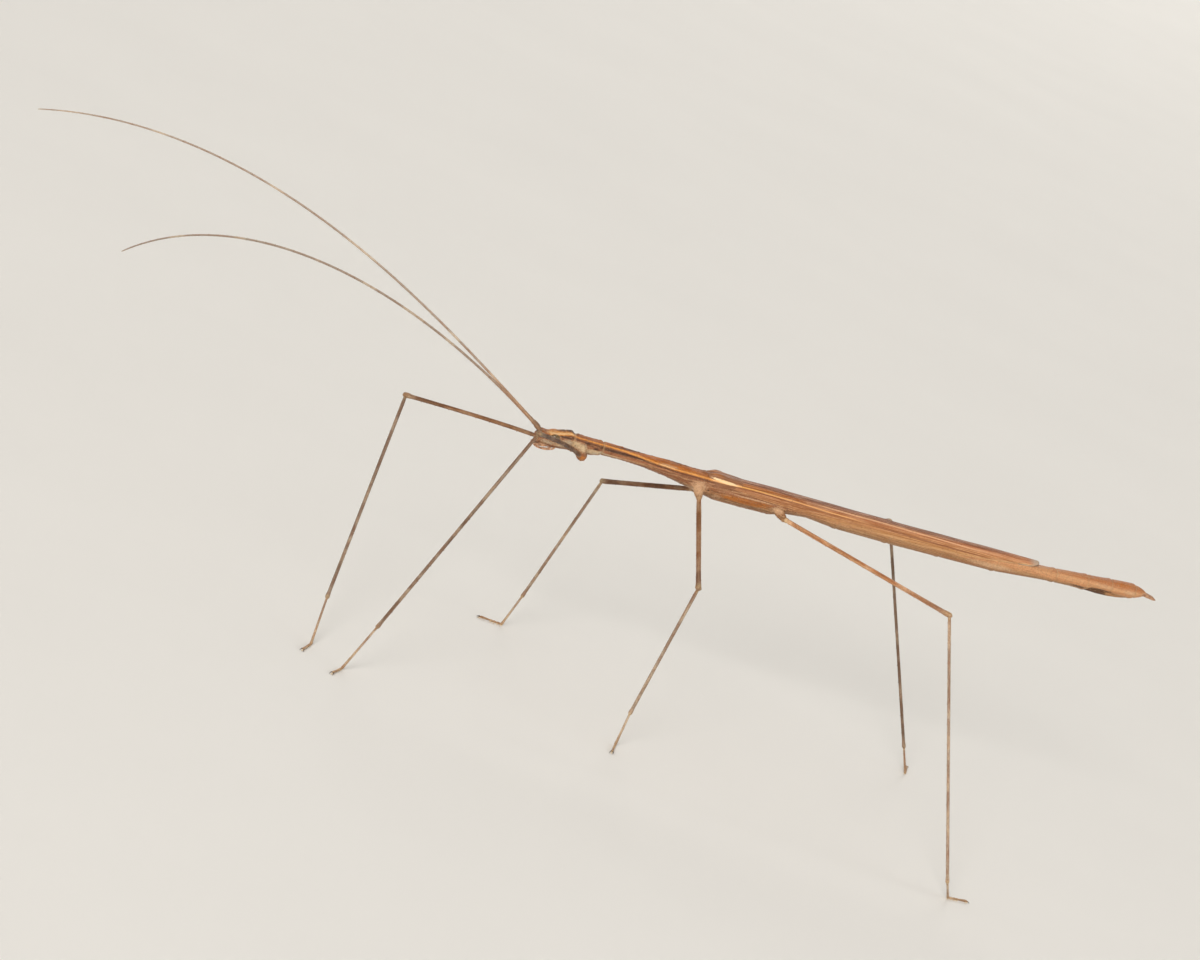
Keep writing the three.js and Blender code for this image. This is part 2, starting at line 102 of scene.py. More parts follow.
# Soft patches of paint on the skin: station, height, half length, half height, strength.
WARM_PATCHES = [
    (10.5, 1.50, 3.2, 0.26, 0.7), (13.8, 1.32, 3.0, 0.24, 1.0), (18.4, 1.12, 2.4, 0.22, 0.8),
    (26.2, -0.72, 3.0, 0.34, 1.0), (24.8, -0.9, 1.2, 0.22, 0.6), (28.6, -0.5, 1.6, 0.25, 0.6),
    (6.1, -0.75, 0.7, 0.40, 1.0), (3.0, 1.56, 1.4, 0.14, 0.6), (70.4, 0.7, 3.0, 0.5, 0.25),
    (75.6, 0.9, 1.2, 0.35, 0.5),
]
PALE_PATCHES = [
    (1.5, 0.10, 1.2, 0.34, 0.62), (3.0, 0.10, 1.2, 0.36, 0.60), (1.2, -0.30, 0.8, 0.2, 0.5),
    (4.2, 1.76, 0.28, 0.30, 0.9), (3.9, 0.70, 0.9, 0.42, 0.7), (4.9, 0.62, 1.0, 0.42, 0.9),
    (5.7, 0.50, 0.6, 0.50, 0.8), (7.0, 0.26, 0.9, 0.34, 1.0), (7.9, 0.40, 0.5, 0.22, 0.9),
    (9.8, 0.34, 2.4, 0.15, 0.8), (16.3, 0.94, 1.3, 0.15, 1.0), (20.5, -0.60, 1.0, 0.85, 1.0),
    (22.9, -0.95, 0.8, 0.55, 0.5), (27.5, -1.40, 4.6, 0.20, 0.2), (27.0, -0.16, 3.4, 0.09, 0.8),
    (30.6, -0.75, 0.9, 0.50, 0.8), (39.0, -0.95, 5.5, 0.40, 0.26), (49.5, -1.05, 5.5, 0.40, 0.22),
    (58.5, -0.80, 3.4, 0.36, 0.8), (73.2, 0.20, 1.6, 0.34, 0.6), (76.6, 0.20, 1.2, 0.34, 0.7),
    (78.6, 0.3, 0.5, 0.3, 0.8),
]
DARK_PATCHES = [
    (3.4, 1.18, 1.1, 0.13, 1.0), (2.4, 1.74, 2.1, 0.22, 1.6), (6.2, 1.10, 0.45, 0.17, 0.9),
    (7.3, 0.72, 0.35, 0.14, 1.0), (6.7, 0.98, 0.5, 0.10, 0.7), (11.0, 0.96, 3.4, 0.14, 1.15),
    (11.8, 1.47, 4.0, 0.08, 0.8), (16.5, 0.62, 2.6, 0.08, 0.6), (18.6, 0.30, 1.7, 0.07, 0.5),
    (21.72, -0.55, 0.16, 0.12, 1.0), (19.6, -0.72, 0.9, 0.10, 0.6), (27.5, 0.36, 3.0, 0.10, 0.5),
    # The patches at stations 70.0 and 73.0 are painted shadow along the top of the genital plate.
    (31.9, 0.10, 0.4, 0.12, 0.6), (70.0, -0.62, 1.6, 0.20, 0.8), (73.0, -0.40, 1.7, 0.12, 0.9),
    (53.1, -0.70, 0.35, 0.05, 0.6), (60.3, -0.60, 0.30, 0.05, 0.5),
]
# Small bumps of the skin: first and last station, how many, their height.
GRANULES = [(8.5, 21, 420, 0.042), (5.0, 8.0, 70, 0.035), (1.2, 4.2, 50, 0.03), (21.5, 31.5, 160, 0.05)]

EYE = {"station": 2.2, "side": 0.94, "height": 0.74, "radii": (0.60, 0.36, 0.50)}

# ---- Legs and feelers ----
LEG_SIZES = {
    "fore": {"femur": 23.4, "bow": 0.35, "tibia": 29.7, "basitarsus": 6.5, "radii": (0.245, 0.205)},
    "mid": {"femur": 15.9, "bow": 0.0, "tibia": 19.6, "basitarsus": 4.7, "radii": (0.305, 0.20)},
    "hind": {"femur": 24.1, "bow": 0.0, "tibia": 31.7, "basitarsus": 4.0, "radii": (0.27, 0.19)},
}
TOES_LENGTH = 3.2
HIPS = {
    "fore": {"place": (6.1, 0.95, -0.98), "coxa": 0.78, "lean": 0.6, "rise": 1.5, "reach": 0.0},
    "mid": {"place": (20.9, 1.35, -1.6), "coxa": 0.62, "lean": 0.5, "rise": 1.5, "reach": 0.30},
    "hind": {"place": (31.7, 1.4, -1.6), "coxa": 0.60, "lean": 1.5, "rise": 1.15, "reach": 0.30},
}
# Heading and rise of the femur, headings of the other sections, height of the ankle, and how
# much painted shade darkens the femur and the tibia.
LEG_POSES = {
    "fore_left": {"femur": (58.6, 15.2), "down": (-27, -28.9, 60), "ankle": 6.5, "dusk": (0.82, 0.45)},
    "fore_right": {"femur": (36.6, -10.1), "down": (-78.7, -81, -64), "ankle": 4.6, "dusk": (0.62, 0.42)},
    "mid_left": {"femur": (88.8, -23.7), "down": (-99.1, -108.5, 71), "ankle": 4.8, "dusk": (0.55, 0.20)},
    "mid_right": {"femur": (62.6, -23.7), "down": (75.8, 58.5, 0), "ankle": 4.8, "dusk": (0.70, 0.24)},
    "hind_left": {"femur": (136.2, 1.0), "down": (152.6, -129, -161), "ankle": 2.75, "dusk": (0.06, 0.06)},
    "hind_right": {"femur": (142.2, -0.1), "down": (172, 158, 110), "ankle": 3.6, "dusk": (0.28, 0.62)},
}
FOOT_HEIGHT = 0.25
FEELER_LENGTH = 70.7
FEELER_ROOT = (0.6, 0.42, 0.95)
FEELER_BENDS = {
    "left": {"heading": (11.9, 19.1, 23.2), "rise": (27.1, -28.3, -13.5)},
    "right": {"heading": (28.4, -18.6, 10.4), "rise": (21.5, -2.4, -42.0)},
}
SCAPE_LENGTH = 1.5
FEELER_RINGS = 52
HAIR_RADIUS = 0.008


# ---- Shape tools ----
def on_body(station, side, height):
    """Places in the row frame."""
    station, side, height = np.broadcast_arrays(*np.atleast_1d(station, side, height))
    ahead = station - BODY_LENGTH / 2
    x = ahead * math.cos(BODY_RISE) - height * math.sin(BODY_RISE)
    z = AXIS_HEIGHT + ahead * math.sin(BODY_RISE) + height * math.cos(BODY_RISE)
    return np.stack([x, side, z], -1) + CENTRING


def spot(station, side, height):
    return on_body(station, side, height)[0]


BODY_AXES = [spot(41, 0, 0) - spot(40, 0, 0), np.array([0, 1.0, 0])]
BODY_AXES.append(np.cross(*BODY_AXES))


def level_on(line, station):
    """Height of a side line at a station."""
    return np.interp(station, *np.array(line).T)


def hump(distance, width):
    """A soft bump, 1 in its middle."""
    return np.exp(-((distance / width) ** 2))


def smooth(value, low, high):
    part = np.clip((value - low) / (high - low), 0, 1)
    return part * part * (3 - 2 * part)


def between(value, first, full, last, gone):
    """1 from full to last, and nought before first and after gone."""
    return smooth(value, first, full) * smooth(value, gone, last)


def circle(sides):
    return np.linspace(0, TURN, sides, endpoint=False)


def off_top(around):
    """Angles as distances from nought, whichever way round."""
    return np.abs(np.angle(np.exp(1j * around)))


def eased(table, at, window=0.35):
    """The table's columns at these stations, with its corners rounded over a short window."""
    table = np.array(table, float)
    step = 0.03
    fine = np.arange(table[0, 0], table[-1, 0] + step, step)
    weights = np.hanning(2 * max(1, int(window / step)) + 3)[1:-1]
    weights /= weights.sum()
    columns = []
    for column in table.T[1:]:
        line = np.interp(fine, table[:, 0], column)
        line = np.convolve(np.pad(line, len(weights) // 2, mode="edge"), weights, "valid")
        columns.append(np.interp(at, fine, line))
    return columns


def section_at(station, outline, window=0.35):
    """Middle height, half height and half width of an outline at these stations."""
    top, bottom, half = eased(outline, station, window)
    return (top + bottom) / 2, (top - bottom) / 2, half


def steps(*spans):
    """Stations along several spans of (start, end, step)."""
    runs = [np.arange(start, end, step) for start, end, step in spans]
    return np.concatenate([*runs, [spans[-1][1]]])


def direction(side, heading, rise):
    turn, lift = math.radians(heading), math.radians(rise)
    flat = math.cos(lift)
    return np.array([-flat * math.cos(turn), side * flat * math.sin(turn), math.sin(lift)])


def unit(vectors):
    return vectors / np.linalg.norm(vectors, axis=-1, keepdims=True)


def run_of(path):
    """How far along a path each of its points lies."""
    return np.concatenate([[0], np.cumsum(np.linalg.norm(np.diff(path, axis=0), axis=1))])


def curved_path(marks, count):
    """A smooth path through a few marks, and how far along it each point lies."""
    marks = np.asarray(marks, float)
    spacing = run_of(marks)
    at = np.linspace(0, spacing[-1], count)
    path = np.stack(eased(np.column_stack([spacing, marks]), at, 0.3 * spacing[-1] / len(marks)), -1)
    return path, run_of(path)


def wrap(path, radii, sides):
    """A tube's grid round a path, and the place of its points in the tube's own frame."""
    ahead = unit(np.gradient(path, axis=0))
    across = np.empty_like(path)
    held = np.cross(ahead[0], UP)
    for i, forward in enumerate(ahead):
        across[i] = held = unit(held - forward * held.dot(forward))
    over = np.cross(across, ahead)
    radii = radii if np.ndim(radii) == 2 else np.reshape(radii, (-1, 1))
    radii = np.broadcast_to(radii, (len(path), sides))
    side, height = radii * np.sin(circle(sides)), radii * np.cos(circle(sides))
    grid = path[:, None] + side[..., None] * across[:, None] + height[..., None] * over[:, None]
    return grid, side, height


def keeled(radii, around, keels, rise):
    """Radii with fine keels running along at the given angles."""
    ribs = sum(rise * hump(off_top(around - keel), 0.22) for keel in keels)
    return np.reshape(radii, (-1, 1)) * (1 + ribs)


def ball(centre, axes, radii, rings=14, sides=18):
    """An ellipsoid's grid; axes are its three directions, and its poles lie along the first."""
    turn, around = np.linspace(0.02, np.pi - 0.02, rings)[:, None], circle(sides)[None]
    parts = [-np.cos(turn) + 0 * around, np.sin(turn) * np.sin(around), np.sin(turn) * np.cos(around)]
    return np.asarray(centre) + sum(r * p[..., None] * np.asarray(a) for r, p, a in zip(radii, parts, axes))


def lie_of(along, side, height):
    return np.stack(np.broadcast_arrays(along, side, height), -1)


def linked(name, data):
    """A new object in the scene."""
    thing = bpy.data.objects.new(name, data)
    bpy.context.scene.collection.objects.link(thing)
    return thing


class Shape:
    """Mesh parts gathered into one piece, with the notes that its paint reads."""

    def __init__(self):
        self.points, self.faces, self.finishes, self.notes, self.uv = [], [], [], {}, []
        self.count = 0

    def add(self, points, faces, finish=0, uv=None, **notes):
        points = np.asarray(points, float).reshape(-1, 3)
        for name, values in notes.items():
            self.notes.setdefault(name, []).append((self.count, np.asarray(values, float)))
        self.points.append(points)
        self.faces += [tuple(int(i) + self.count for i in face) for face in faces]
        self.finishes += [finish] * len(faces)
        self.count += len(points)
        if uv is not None:
            self.uv.append(uv)

    def add_grid(self, grid, finish=0, flip=False, **notes):
        """A grid of closed rings, with a fan of faces over each end."""
        rings, sides = grid.shape[:2]
        index = np.arange(rings * sides).reshape(rings, sides)
        beside = np.roll(index, -1, axis=1)
        faces = np.stack([index[:-1], beside[:-1], beside[1:], index[1:]], -1).reshape(-1, 4).tolist()
        hub = rings * sides
        faces += [(b, a, hub) for a, b in zip(index[0], beside[0])]
        faces += [(a, b, hub + 1) for a, b in zip(index[-1], beside[-1])]
        if flip:
            faces = [face[::-1] for face in faces]

        def flat(values):
            return np.concatenate([values.reshape(-1, *values.shape[2:]), values[[0, -1]].mean(1)])

        self.add(flat(grid), faces, finish, **{name: flat(values) for name, values in notes.items()})

    def make(self, name, finishes):
        """Makes the object, in metres."""
        mesh = bpy.data.meshes.new(name)
        mesh.from_pydata((np.concatenate(self.points) * MM).tolist(), [], self.faces)
        mesh.polygons.foreach_set("use_smooth", [True] * len(mesh.polygons))
        for finish in finishes:
            mesh.materials.append(finish)
        mesh.polygons.foreach_set("material_index", self.finishes)
        for note, parts in self.notes.items():
            wide = parts[0][1].ndim == 2
            values = np.zeros((self.count, 3) if wide else self.count, np.float32)
            for start, found in parts:
                values[start : start + len(found)] = found
            layer = mesh.attributes.new(note, "FLOAT_VECTOR" if wide else "FLOAT", "POINT")
            layer.data.foreach_set("vector" if wide else "value", values.ravel())
        if self.uv:
            spots = np.concatenate(self.uv).astype(np.float32)
            corners = np.zeros(len(mesh.loops), np.int32)
            mesh.loops.foreach_get("vertex_index", corners)
            mesh.uv_layers.new(name="OFBake").uv.foreach_set("vector", spots[corners].ravel())
        return linked(name, mesh)

    def build(self, name, finishes, slot, *nodes):
        """Makes the object and ties it to the frame."""
        piece = self.make(name, finishes)
        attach(piece, "root")
        if nodes:
            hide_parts(*nodes)


# ---- Node tools ----
def colour(code):
    """A colour code such as "c98a5e" as linear light."""
    parts = [int(code[i : i + 2], 16) / 255 for i in (0, 2, 4)]
    return [*(p / 12.92 if p <= 0.04045 else ((p + 0.055) / 1.055) ** 2.4 for p in parts), 1.0]


class Nodes:
    """Short ways to add the nodes of a material or a group.

    A tint is a colour code, a socket, or (part, tint, tint) for a mix of two tints.
    """

    def __init__(self, tree):
        self.tree = tree

    def put(self, socket, value):
        if isinstance(value, bpy.types.NodeSocket):
            self.tree.links.new(value, socket)
        else:
            socket.default_value = value

    def add(self, kind, out=0, props=None, **inputs):
        node = self.tree.nodes.new("ShaderNode" + kind)
        for name, value in (props or {}).items():
            setattr(node, name, value)
        for name, value in inputs.items():
            self.put(node.inputs[name.replace("_", " ")], value)
        return node.outputs[out]

    def sum(self, what, *values, kind="Math"):
        out = self.add(kind, props={"operation": what})
        for socket, value in zip(out.node.inputs, values):
            self.put(socket, value)
        return out

    def vector(self, what, *values):
        return self.sum(what, *values, kind="VectorMath")

    def times(self, first, *others):
        for other in others:
            first = self.sum("MULTIPLY", first, other)
        return first

    def scaled(self, value, factor, plus):
        return self.sum("MULTIPLY_ADD", value, factor, plus)

    def fade(self, value, low, high, start=0.0, end=1.0):
        """Runs smoothly from start to end while the value goes from low to high."""
        span = {"Value": value, "From_Min": low, "From_Max": high, "To_Min": start, "To_Max": end}
        return self.add("MapRange", props={"interpolation_type": "SMOOTHSTEP"}, **span)

    def mix(self, part, first, second):
        out = self.add("Mix", out=2, props={"data_type": "RGBA"})
        for index, value in ((0, part), (6, first), (7, second)):
            if isinstance(value, tuple):
                value = self.mix(*value)
            self.put(out.node.inputs[index], colour(value) if isinstance(value, str) else value)
        return out

    def lay(self, base, *coats):
        """Lays coats of paint over a base; each is a tint and the masks that thin it."""
        base = self.mix(*base) if isinstance(base, tuple) else base
        for tint, *masks in coats:
            base = self.mix(self.times(*masks), base, tint)
        return base

    def noise(self, place, scale=1.0, detail=2.0, rough=0.5):
        return self.add("TexNoise", Vector=place, Scale=scale, Detail=detail, Roughness=rough)

    def note(self, name):
        """A value that the mesh carries; the lie is a place, the others are numbers."""
        return self.add("Attribute", out=1 if name == "lie" else 2, props={"attribute_name": name})

    def split(self, place):
        return self.add("SeparateXYZ", Vector=place).node.outputs

    def millimetres(self):
        """The row frame's place in millimetres."""
        place = self.add("TexCoord", out=3)
        return self.add("VectorMath", props={"operation": "SCALE"}, Vector=place, Scale=1000.0)

    def use(self, group, *values):
        """Places an effect, its values in the order of its inputs; returns its output or outputs."""
        node = self.tree.nodes.new("ShaderNodeGroup")
        node.node_tree = group
        for socket, value in zip(node.inputs, values):
            self.put(socket, value)
        return list(node.outputs) if len(node.outputs) > 1 else node.outputs[0]

    def marked(self, markings):
        """Places markings, fed from the mesh's notes of the same names as its inputs."""
        sockets = [item for item in markings.interface.items_tree if item.in_out == "INPUT"]
        return self.use(markings, *(self.note(socket.name.lower()) for socket in sockets))

    def give(self, **results):
        """Feeds the outputs of a group and returns the group."""
        for name, value in results.items():
            self.put(self.ends[name], value)
        return self.tree


def effect(name, inputs, outputs):
    """A new shader node group with named sockets: its node tools and its inputs."""
    kinds = {"Lie": "Vector", "Place": "Vector", "Color": "Color"}
    group = bpy.data.node_groups.new(name, "ShaderNodeTree")
    for labels, way in ((inputs, "INPUT"), (outputs, "OUTPUT")):
        for label in labels.split():
            kind = "NodeSocket" + kinds.get(label, "Float")
            group.interface.new_socket(label, in_out=way, socket_type=kind)
    n = Nodes(group)
    given = group.nodes.new("NodeGroupInput").outputs
    n.ends = group.nodes.new("NodeGroupOutput").inputs
    return n, [given[label] for label in inputs.split()]


def make_grain():
    """Fine granules and pits of hard skin."""
    n, (place, size, pits) = effect("cuticle grain", "Place Size Pits", "Height Tint")
    scale = n.sum("DIVIDE", 1.0, size)
    domes = n.sum("SUBTRACT", 0.6, n.add("TexVoronoi", Vector=place, Scale=scale))
    fine = n.noise(place, n.times(scale, 0.45), 3.0, 0.6)
    holes = n.times(n.fade(fine, 0.36, 0.46, 1.0, 0.0), pits)
    height = n.sum("SUBTRACT", n.scaled(domes, 0.6, fine), holes)
    return n.give(Height=height, Tint=n.noise(place, n.times(scale, 0.16), 4.0, 0.65))


def make_streaks():
    """Thin streaks that run along a piece, from its own place."""
    n, (lie, length, width, seed) = effect("long streaks", "Lie Length Width Seed", "Streaks Broad")
    across = n.sum("DIVIDE", 1.0, width)
    size = n.add("CombineXYZ", X=n.sum("DIVIDE", 1.0, length), Y=across, Z=across)
    moved = n.vector("MULTIPLY_ADD", lie, size, n.add("CombineXYZ", X=seed, Y=seed, Z=0.0))
    thin = n.fade(n.noise(moved, 1.0, 3.0, 0.62), 0.36, 0.64)
    return n.give(Streaks=thin, Broad=n.fade(n.noise(moved, 0.35, 2.0, 0.5), 0.35, 0.65))


def make_bands():
    """Irregular cross bands, as on legs and feelers."""
    n, (lie, spacing, seed) = effect("cross bands", "Lie Spacing Seed", "Bands Blotches")
    size = n.add("CombineXYZ", X=n.sum("DIVIDE", 1.0, spacing), Y=0.55, Z=0.55)
    moved = n.vector("MULTIPLY_ADD", lie, size, n.add("CombineXYZ", X=seed, Y=0.0, Z=seed))
    bands = n.fade(n.noise(moved, 1.0, 1.5, 0.5), 0.40, 0.58)
    return n.give(Bands=bands, Blotches=n.fade(n.noise(moved, 3.4, 2.0, 0.6), 0.42, 0.62))


def make_flecks():
    """Small scattered specks."""
    n, (place, size, share) = effect("flecks", "Place Size Share", "Flecks")
    scale = n.sum("DIVIDE", 1.0, size)
    warp = n.add("TexNoise", out=1, Vector=place, Scale=n.times(scale, 0.9), Detail=2.0)
    push = n.add("CombineXYZ", **dict.fromkeys("XYZ", n.times(size, 1.4)))
    cell = n.add("TexVoronoi", Vector=n.vector("MULTIPLY_ADD", warp, push, place), Scale=scale)
    kept = n.sum("LESS_THAN", n.add("SeparateColor", Color=cell.node.outputs["Color"]), share)
    return n.give(Flecks=n.times(n.fade(cell, 0.18, 0.42, 1.0, 0.0), kept))


def make_line():
    """A line of paint where a distance is near nought, with an uneven edge."""
    n, (distance, width, place, wobble) = effect("painted line", "Distance Width Place Wobble", "Line")
    wander = n.sum("SUBTRACT", n.noise(place, 2.2, 3.0, 0.6), 0.5)
    off = n.sum("ABSOLUTE", n.scaled(wander, wobble, distance))
    return n.give(Line=n.fade(off, n.times(width, 0.5), n.times(width, 1.5), 1.0, 0.0))


GRAIN, STREAKS, BANDS, FLECKS, LINE = make_grain(), make_streaks(), make_bands(), make_flecks(), make_line()


# ---- Markings ----
def make_body_markings():
    """Colour of the trunk's skin, from its lie and its painted notes."""
    n, (lie, stripe, warm, pale, dark, soft) = effect(
        "body markings", "Lie Stripe Warm Pale Dark Soft", "Color"
    )
    station, _, height = n.split(lie)
    along = partial(n.fade, station)
    fine, broad = n.use(STREAKS, lie, 1.6, 0.09, 3.0)
    long_fine, long_broad = n.use(STREAKS, lie, 5.0, 0.16, 8.0)
    clouds = n.noise(lie, 1.1, 4.0, 0.6)
    ragged = n.scaled(n.noise(lie, 5.0, 4.0, 0.65), 0.9, -0.45)
    warm = n.fade(n.sum("ADD", warm, ragged), 0.25, 0.75)
    pale = n.fade(n.sum("ADD", pale, ragged), 0.25, 0.80)
    dark = n.fade(n.sum("ADD", dark, ragged), 0.35, 0.80)
    chalk = along(8.4, 10.0, 1.0, 0.0)
    grey = n.fade(n.noise(lie, 0.8, 2.0, 0.5), 0.45, 0.6)
    in_stripe = n.times(along(0.8, 1.8), along(39.0, 46.0, 1.0, 0.0))
    wide = n.sum("ADD", along(3.6, 4.8, 0.17, 0.07), along(8.0, 14.0, 0.0, 0.035))
    glow = n.use(LINE, stripe, n.times(wide, 1.05), lie, 0.10)
    core = n.use(LINE, stripe, n.times(wide, 0.5), lie, 0.12)
    blaze = n.sum("MAXIMUM", pale, along(3.9, 4.6, 0.7, 0.0))
    under = n.use(LINE, n.sum("ADD", stripe, 0.27), 0.07, lie, 0.16)
    skin = n.lay(
        (along(30.0, 36.0, 1.0, 0.0), (clouds, "cf956c", "e6b68c"), (clouds, "7c4d34", "b07c5c")),
        # Darker towards the belly: painted shade of the underside.
        ((clouds, "826042", "a88058"), n.fade(height, -0.15, -0.95), 0.75),
        ((clouds, "864c28", "b46c38"), n.fade(stripe, -0.02, 0.22), along(60.0, 68.0, 0.9, 0.25)),
        ((broad, "4f2c17", "7a4624"), n.fade(stripe, 0.22, 0.5), along(18.0, 24.0, 0.7, 0.2)),
        ("6a432b", n.fade(fine, 0.45, 1.0), along(30.0, 50.0, 0.5, 0.20)),
        ("dcb187", n.fade(long_fine, 0.6, 1.0), 0.45),
        ("bf7550", n.fade(long_broad, 0.5, 1.0), 0.22),
        ("b9714a", n.fade(height, 0.15, 0.75), along(64.0, 70.0, 0.0, 0.55), n.scaled(broad, 0.5, 0.5)),
        ((broad, "a85a24", "cd7d3c"), warm, n.fade(height, -0.3, 0.6, 0.55, 0.85)),
        ((clouds, (chalk, "cc9c78", "d0b592"), (chalk, "f0cca8", "f0dab4")), pale, 0.85),
        ("9c9890", grey, pale, chalk, 0.45),
        # Dark patches, among them painted shadow along the genital plate.
        ("40261a", dark, 0.85),
        ((broad, "d98846", "e9a665"), glow, in_stripe, 0.92),
        ((blaze, "efae70", "fcdcae"), core, in_stripe, 0.85),
        ("55301c", under, along(20.0, 26.0, 0.7, 0.0)),
        ("4a2d1c", n.use(FLECKS, lie, 0.16, 0.30), along(24.0, 40.0, 0.55, 0.14)),
        ("f0dcb8", n.use(FLECKS, n.vector("ADD", lie, (7, 3, 1)), 0.13, 0.22), 0.26),
        ((clouds, "b08a66", "d9b992"), soft, 0.55),
    )
    return n.give(Color=n.add("HueSaturation", Saturation=1.10, Value=0.91, Color=skin))


def make_wing_markings():
    """Colour of the folded wings."""
    n, (lie, stripe, pink, streak, edge, vein) = effect(
        "wing markings", "Lie Stripe Pink Streak Edge Vein", "Color"
    )
    station, _, height = n.split(lie)
    along = partial(n.fade, station)
    fine, broad = n.use(STREAKS, lie, 6.0, 0.07, 5.0)
    clouds = n.noise(lie, 0.9, 4.0, 0.6)
    rust = n.times(n.fade(stripe, 0.04, 0.16), n.fade(stripe, 0.26, 0.46, 1.0, 0.0))
    ruddy = n.times(n.fade(pink, -0.06, -0.30), n.fade(height, 0.05, 0.3))
    rough = n.fade(n.noise(n.vector("MULTIPLY", lie, (1.2, 6, 6)), 1.0, 3.0, 0.6), 0.42, 0.6)
    cream = (along(24.0, 34.0, 1.0, 0.35), "ecb78d", "fbc27c")
    under = n.use(LINE, n.sum("ADD", stripe, 0.17), 0.05, lie, 0.08)
    leather = n.lay(
        (n.fade(height, 0.25, 0.75), (clouds, "b98259", "d8a276"), (clouds, "c67f5a", "dd9c76")),
        ((clouds, "c99460", "dfb27c"), n.fade(height, 0.3, -0.25), along(30.0, 38.0), 0.6),
        ((broad, "a0653f", "b67a50"), ruddy, along(48.0, 58.0, 0.6, 0.0)),
        # A dark band along the top of the wing, deepened with painted shade of its upper surface.
        ((broad, "683a26", "88503a"), n.fade(height, 0.66, 0.98), along(56.0, 64.0, 0.95, 0.4)),
        ((broad, "a8561f", "c97a36"), rust, along(29.0, 37.0, 1.0, 0.0), 0.65),
        ("7c4a33", n.fade(fine, 0.5, 1.0), 0.5),
        ("f4cba6", n.fade(fine, 0.42, 0.0), 0.45),
        ("9a6545", n.fade(stripe, -0.12, -0.35), along(36.0, 46.0, 1.0, 0.35), n.scaled(rough, 0.35, 0.18)),
        (cream, n.use(LINE, stripe, 0.062, lie, 0.05), along(38.0, 44.0, 1.0, 0.0), 0.95),
        ("6e3e28", under, along(34.0, 42.0, 0.55, 0.0)),
        ("f0c09a", n.use(LINE, pink, 0.06, lie, 0.05), along(33, 37, 0.0, 0.9), along(54, 60, 1.0, 0.4)),
        ("7b432e", n.use(LINE, streak, 0.075, lie, 0.14), along(40.0, 46.0), along(54.0, 60.0, 0.7, 0.1)),
        ("e9bf97", n.fade(vein, 0.3, 0.9), 0.22),
        ("dfb78c", n.fade(edge, 0.02, 0.14, 1.0, 0.0), along(30.0, 48.0, 0.25, 0.75)),
        ("cbbba8", along(62.8, 64.0), 0.75),
        ("6a3b26", n.use(FLECKS, lie, 0.22, 0.14), 0.4),
    )
    return n.give(Color=n.add("HueSaturation", Saturation=1.12, Value=0.87, Color=leather))


def make_leg_markings():
    """Colour of the legs; Tone runs from the hip at 0 to the toes at 1."""
    n, (lie, tone, joint, seed, dusk) = effect("leg markings", "Lie Tone Joint Seed Dusk", "Color")
    bands, blotches = n.use(BANDS, lie, 2.6, seed)
    fine, broad = n.use(STREAKS, lie, 2.2, 0.10, seed)
    leg = n.lay(
        (broad, "d3966f", "efc09a"),
        ((broad, "b29e8c", "d2c2b0"), n.fade(tone, 0.22, 0.48)),
        ((broad, "b89b80", "d8c1a4"), n.fade(tone, 0.80, 0.92)),
        ("8a5c42", bands, 0.36),
        ("e6cbae", n.fade(bands, 0.35, 0.0), 0.38),
        ("9a5a3c", blotches, 0.24),
        ("6b4733", n.fade(fine, 0.55, 1.0), 0.30),
        ("5a3a2a", n.use(FLECKS, lie, 0.15, 0.34), 0.36),
        ("efdcbf", n.use(FLECKS, n.vector("ADD", lie, (4, 9, 2)), 0.13, 0.3), 0.24),
        ((blotches, "e0c6a0", "b08a68"), joint, 0.65),
        # Painted shade: the legs that lie in shadow are darkened.
        ((broad, "1f1007", "46280f"), dusk, n.scaled(bands, 0.16, 0.86)),
    )
    return n.give(Color=n.add("HueSaturation", Saturation=1.15, Value=0.97, Color=leg))


def make_feeler_markings():
    """Colour of the feelers, ringed at each joint."""
    n, (lie, joint, seed) = effect("feeler markings", "Lie Joint Seed", "Color")
    along = partial(n.fade, n.split(lie)[0])
    bands, blotches = n.use(BANDS, lie, 5.5, seed)
    fine, broad = n.use(STREAKS, lie, 0.9, 0.10, seed)
    whip = n.lay(
        (along(0.8, 3.5), "6e4e30", "ab7f5c"),
        ("ab9c8c", along(3.0, 14.0)),
        ("7d563c", n.fade(fine, 0.5, 1.0), along(4.0, 20.0, 0.6, 0.3)),
        ("dcb591", broad, along(2.0, 8.0, 0.4, 0.0)),
        ("8c6a50", bands, 0.35),
        ("e2c9a8", n.fade(bands, 0.4, 0.0), 0.35),
        ("94603f", blotches, 0.25),
        ((fine, "8a6340", "5f4028"), along(0.6, 5.0, 0.62, 0.0)),
        ("6b4a34", joint, 0.45),
    )
    return n.give(Color=whip)


BODY_MARKINGS, WING_MARKINGS = make_body_markings(), make_wing_markings()
LEG_MARKINGS, FEELER_MARKINGS = make_leg_markings(), make_feeler_markings()


# ---- Finishes ----
class Finish(Nodes):
    """A material's nodes, which end in one Principled shader."""

    def __init__(self, name):
        self.material = bpy.data.materials.new(name)
        self.material.use_nodes = True
        super().__init__(self.material.node_tree)

    def dress(self, tint, rough, height=None, depth=0.0, **sockets):
        """Sets the shader; the height is a bump as deep as this many millimetres."""
        if height is not None:
            sockets["Normal"] = self.add("Bump", Height=height, Distance=depth * MM)
        shader = self.tree.nodes["Principled BSDF"]
        for name, value in {"Base_Color": tint, "Roughness": rough, **sockets}.items():
            self.put(shader.inputs[name.replace("_", " ")], value)
        return self.material


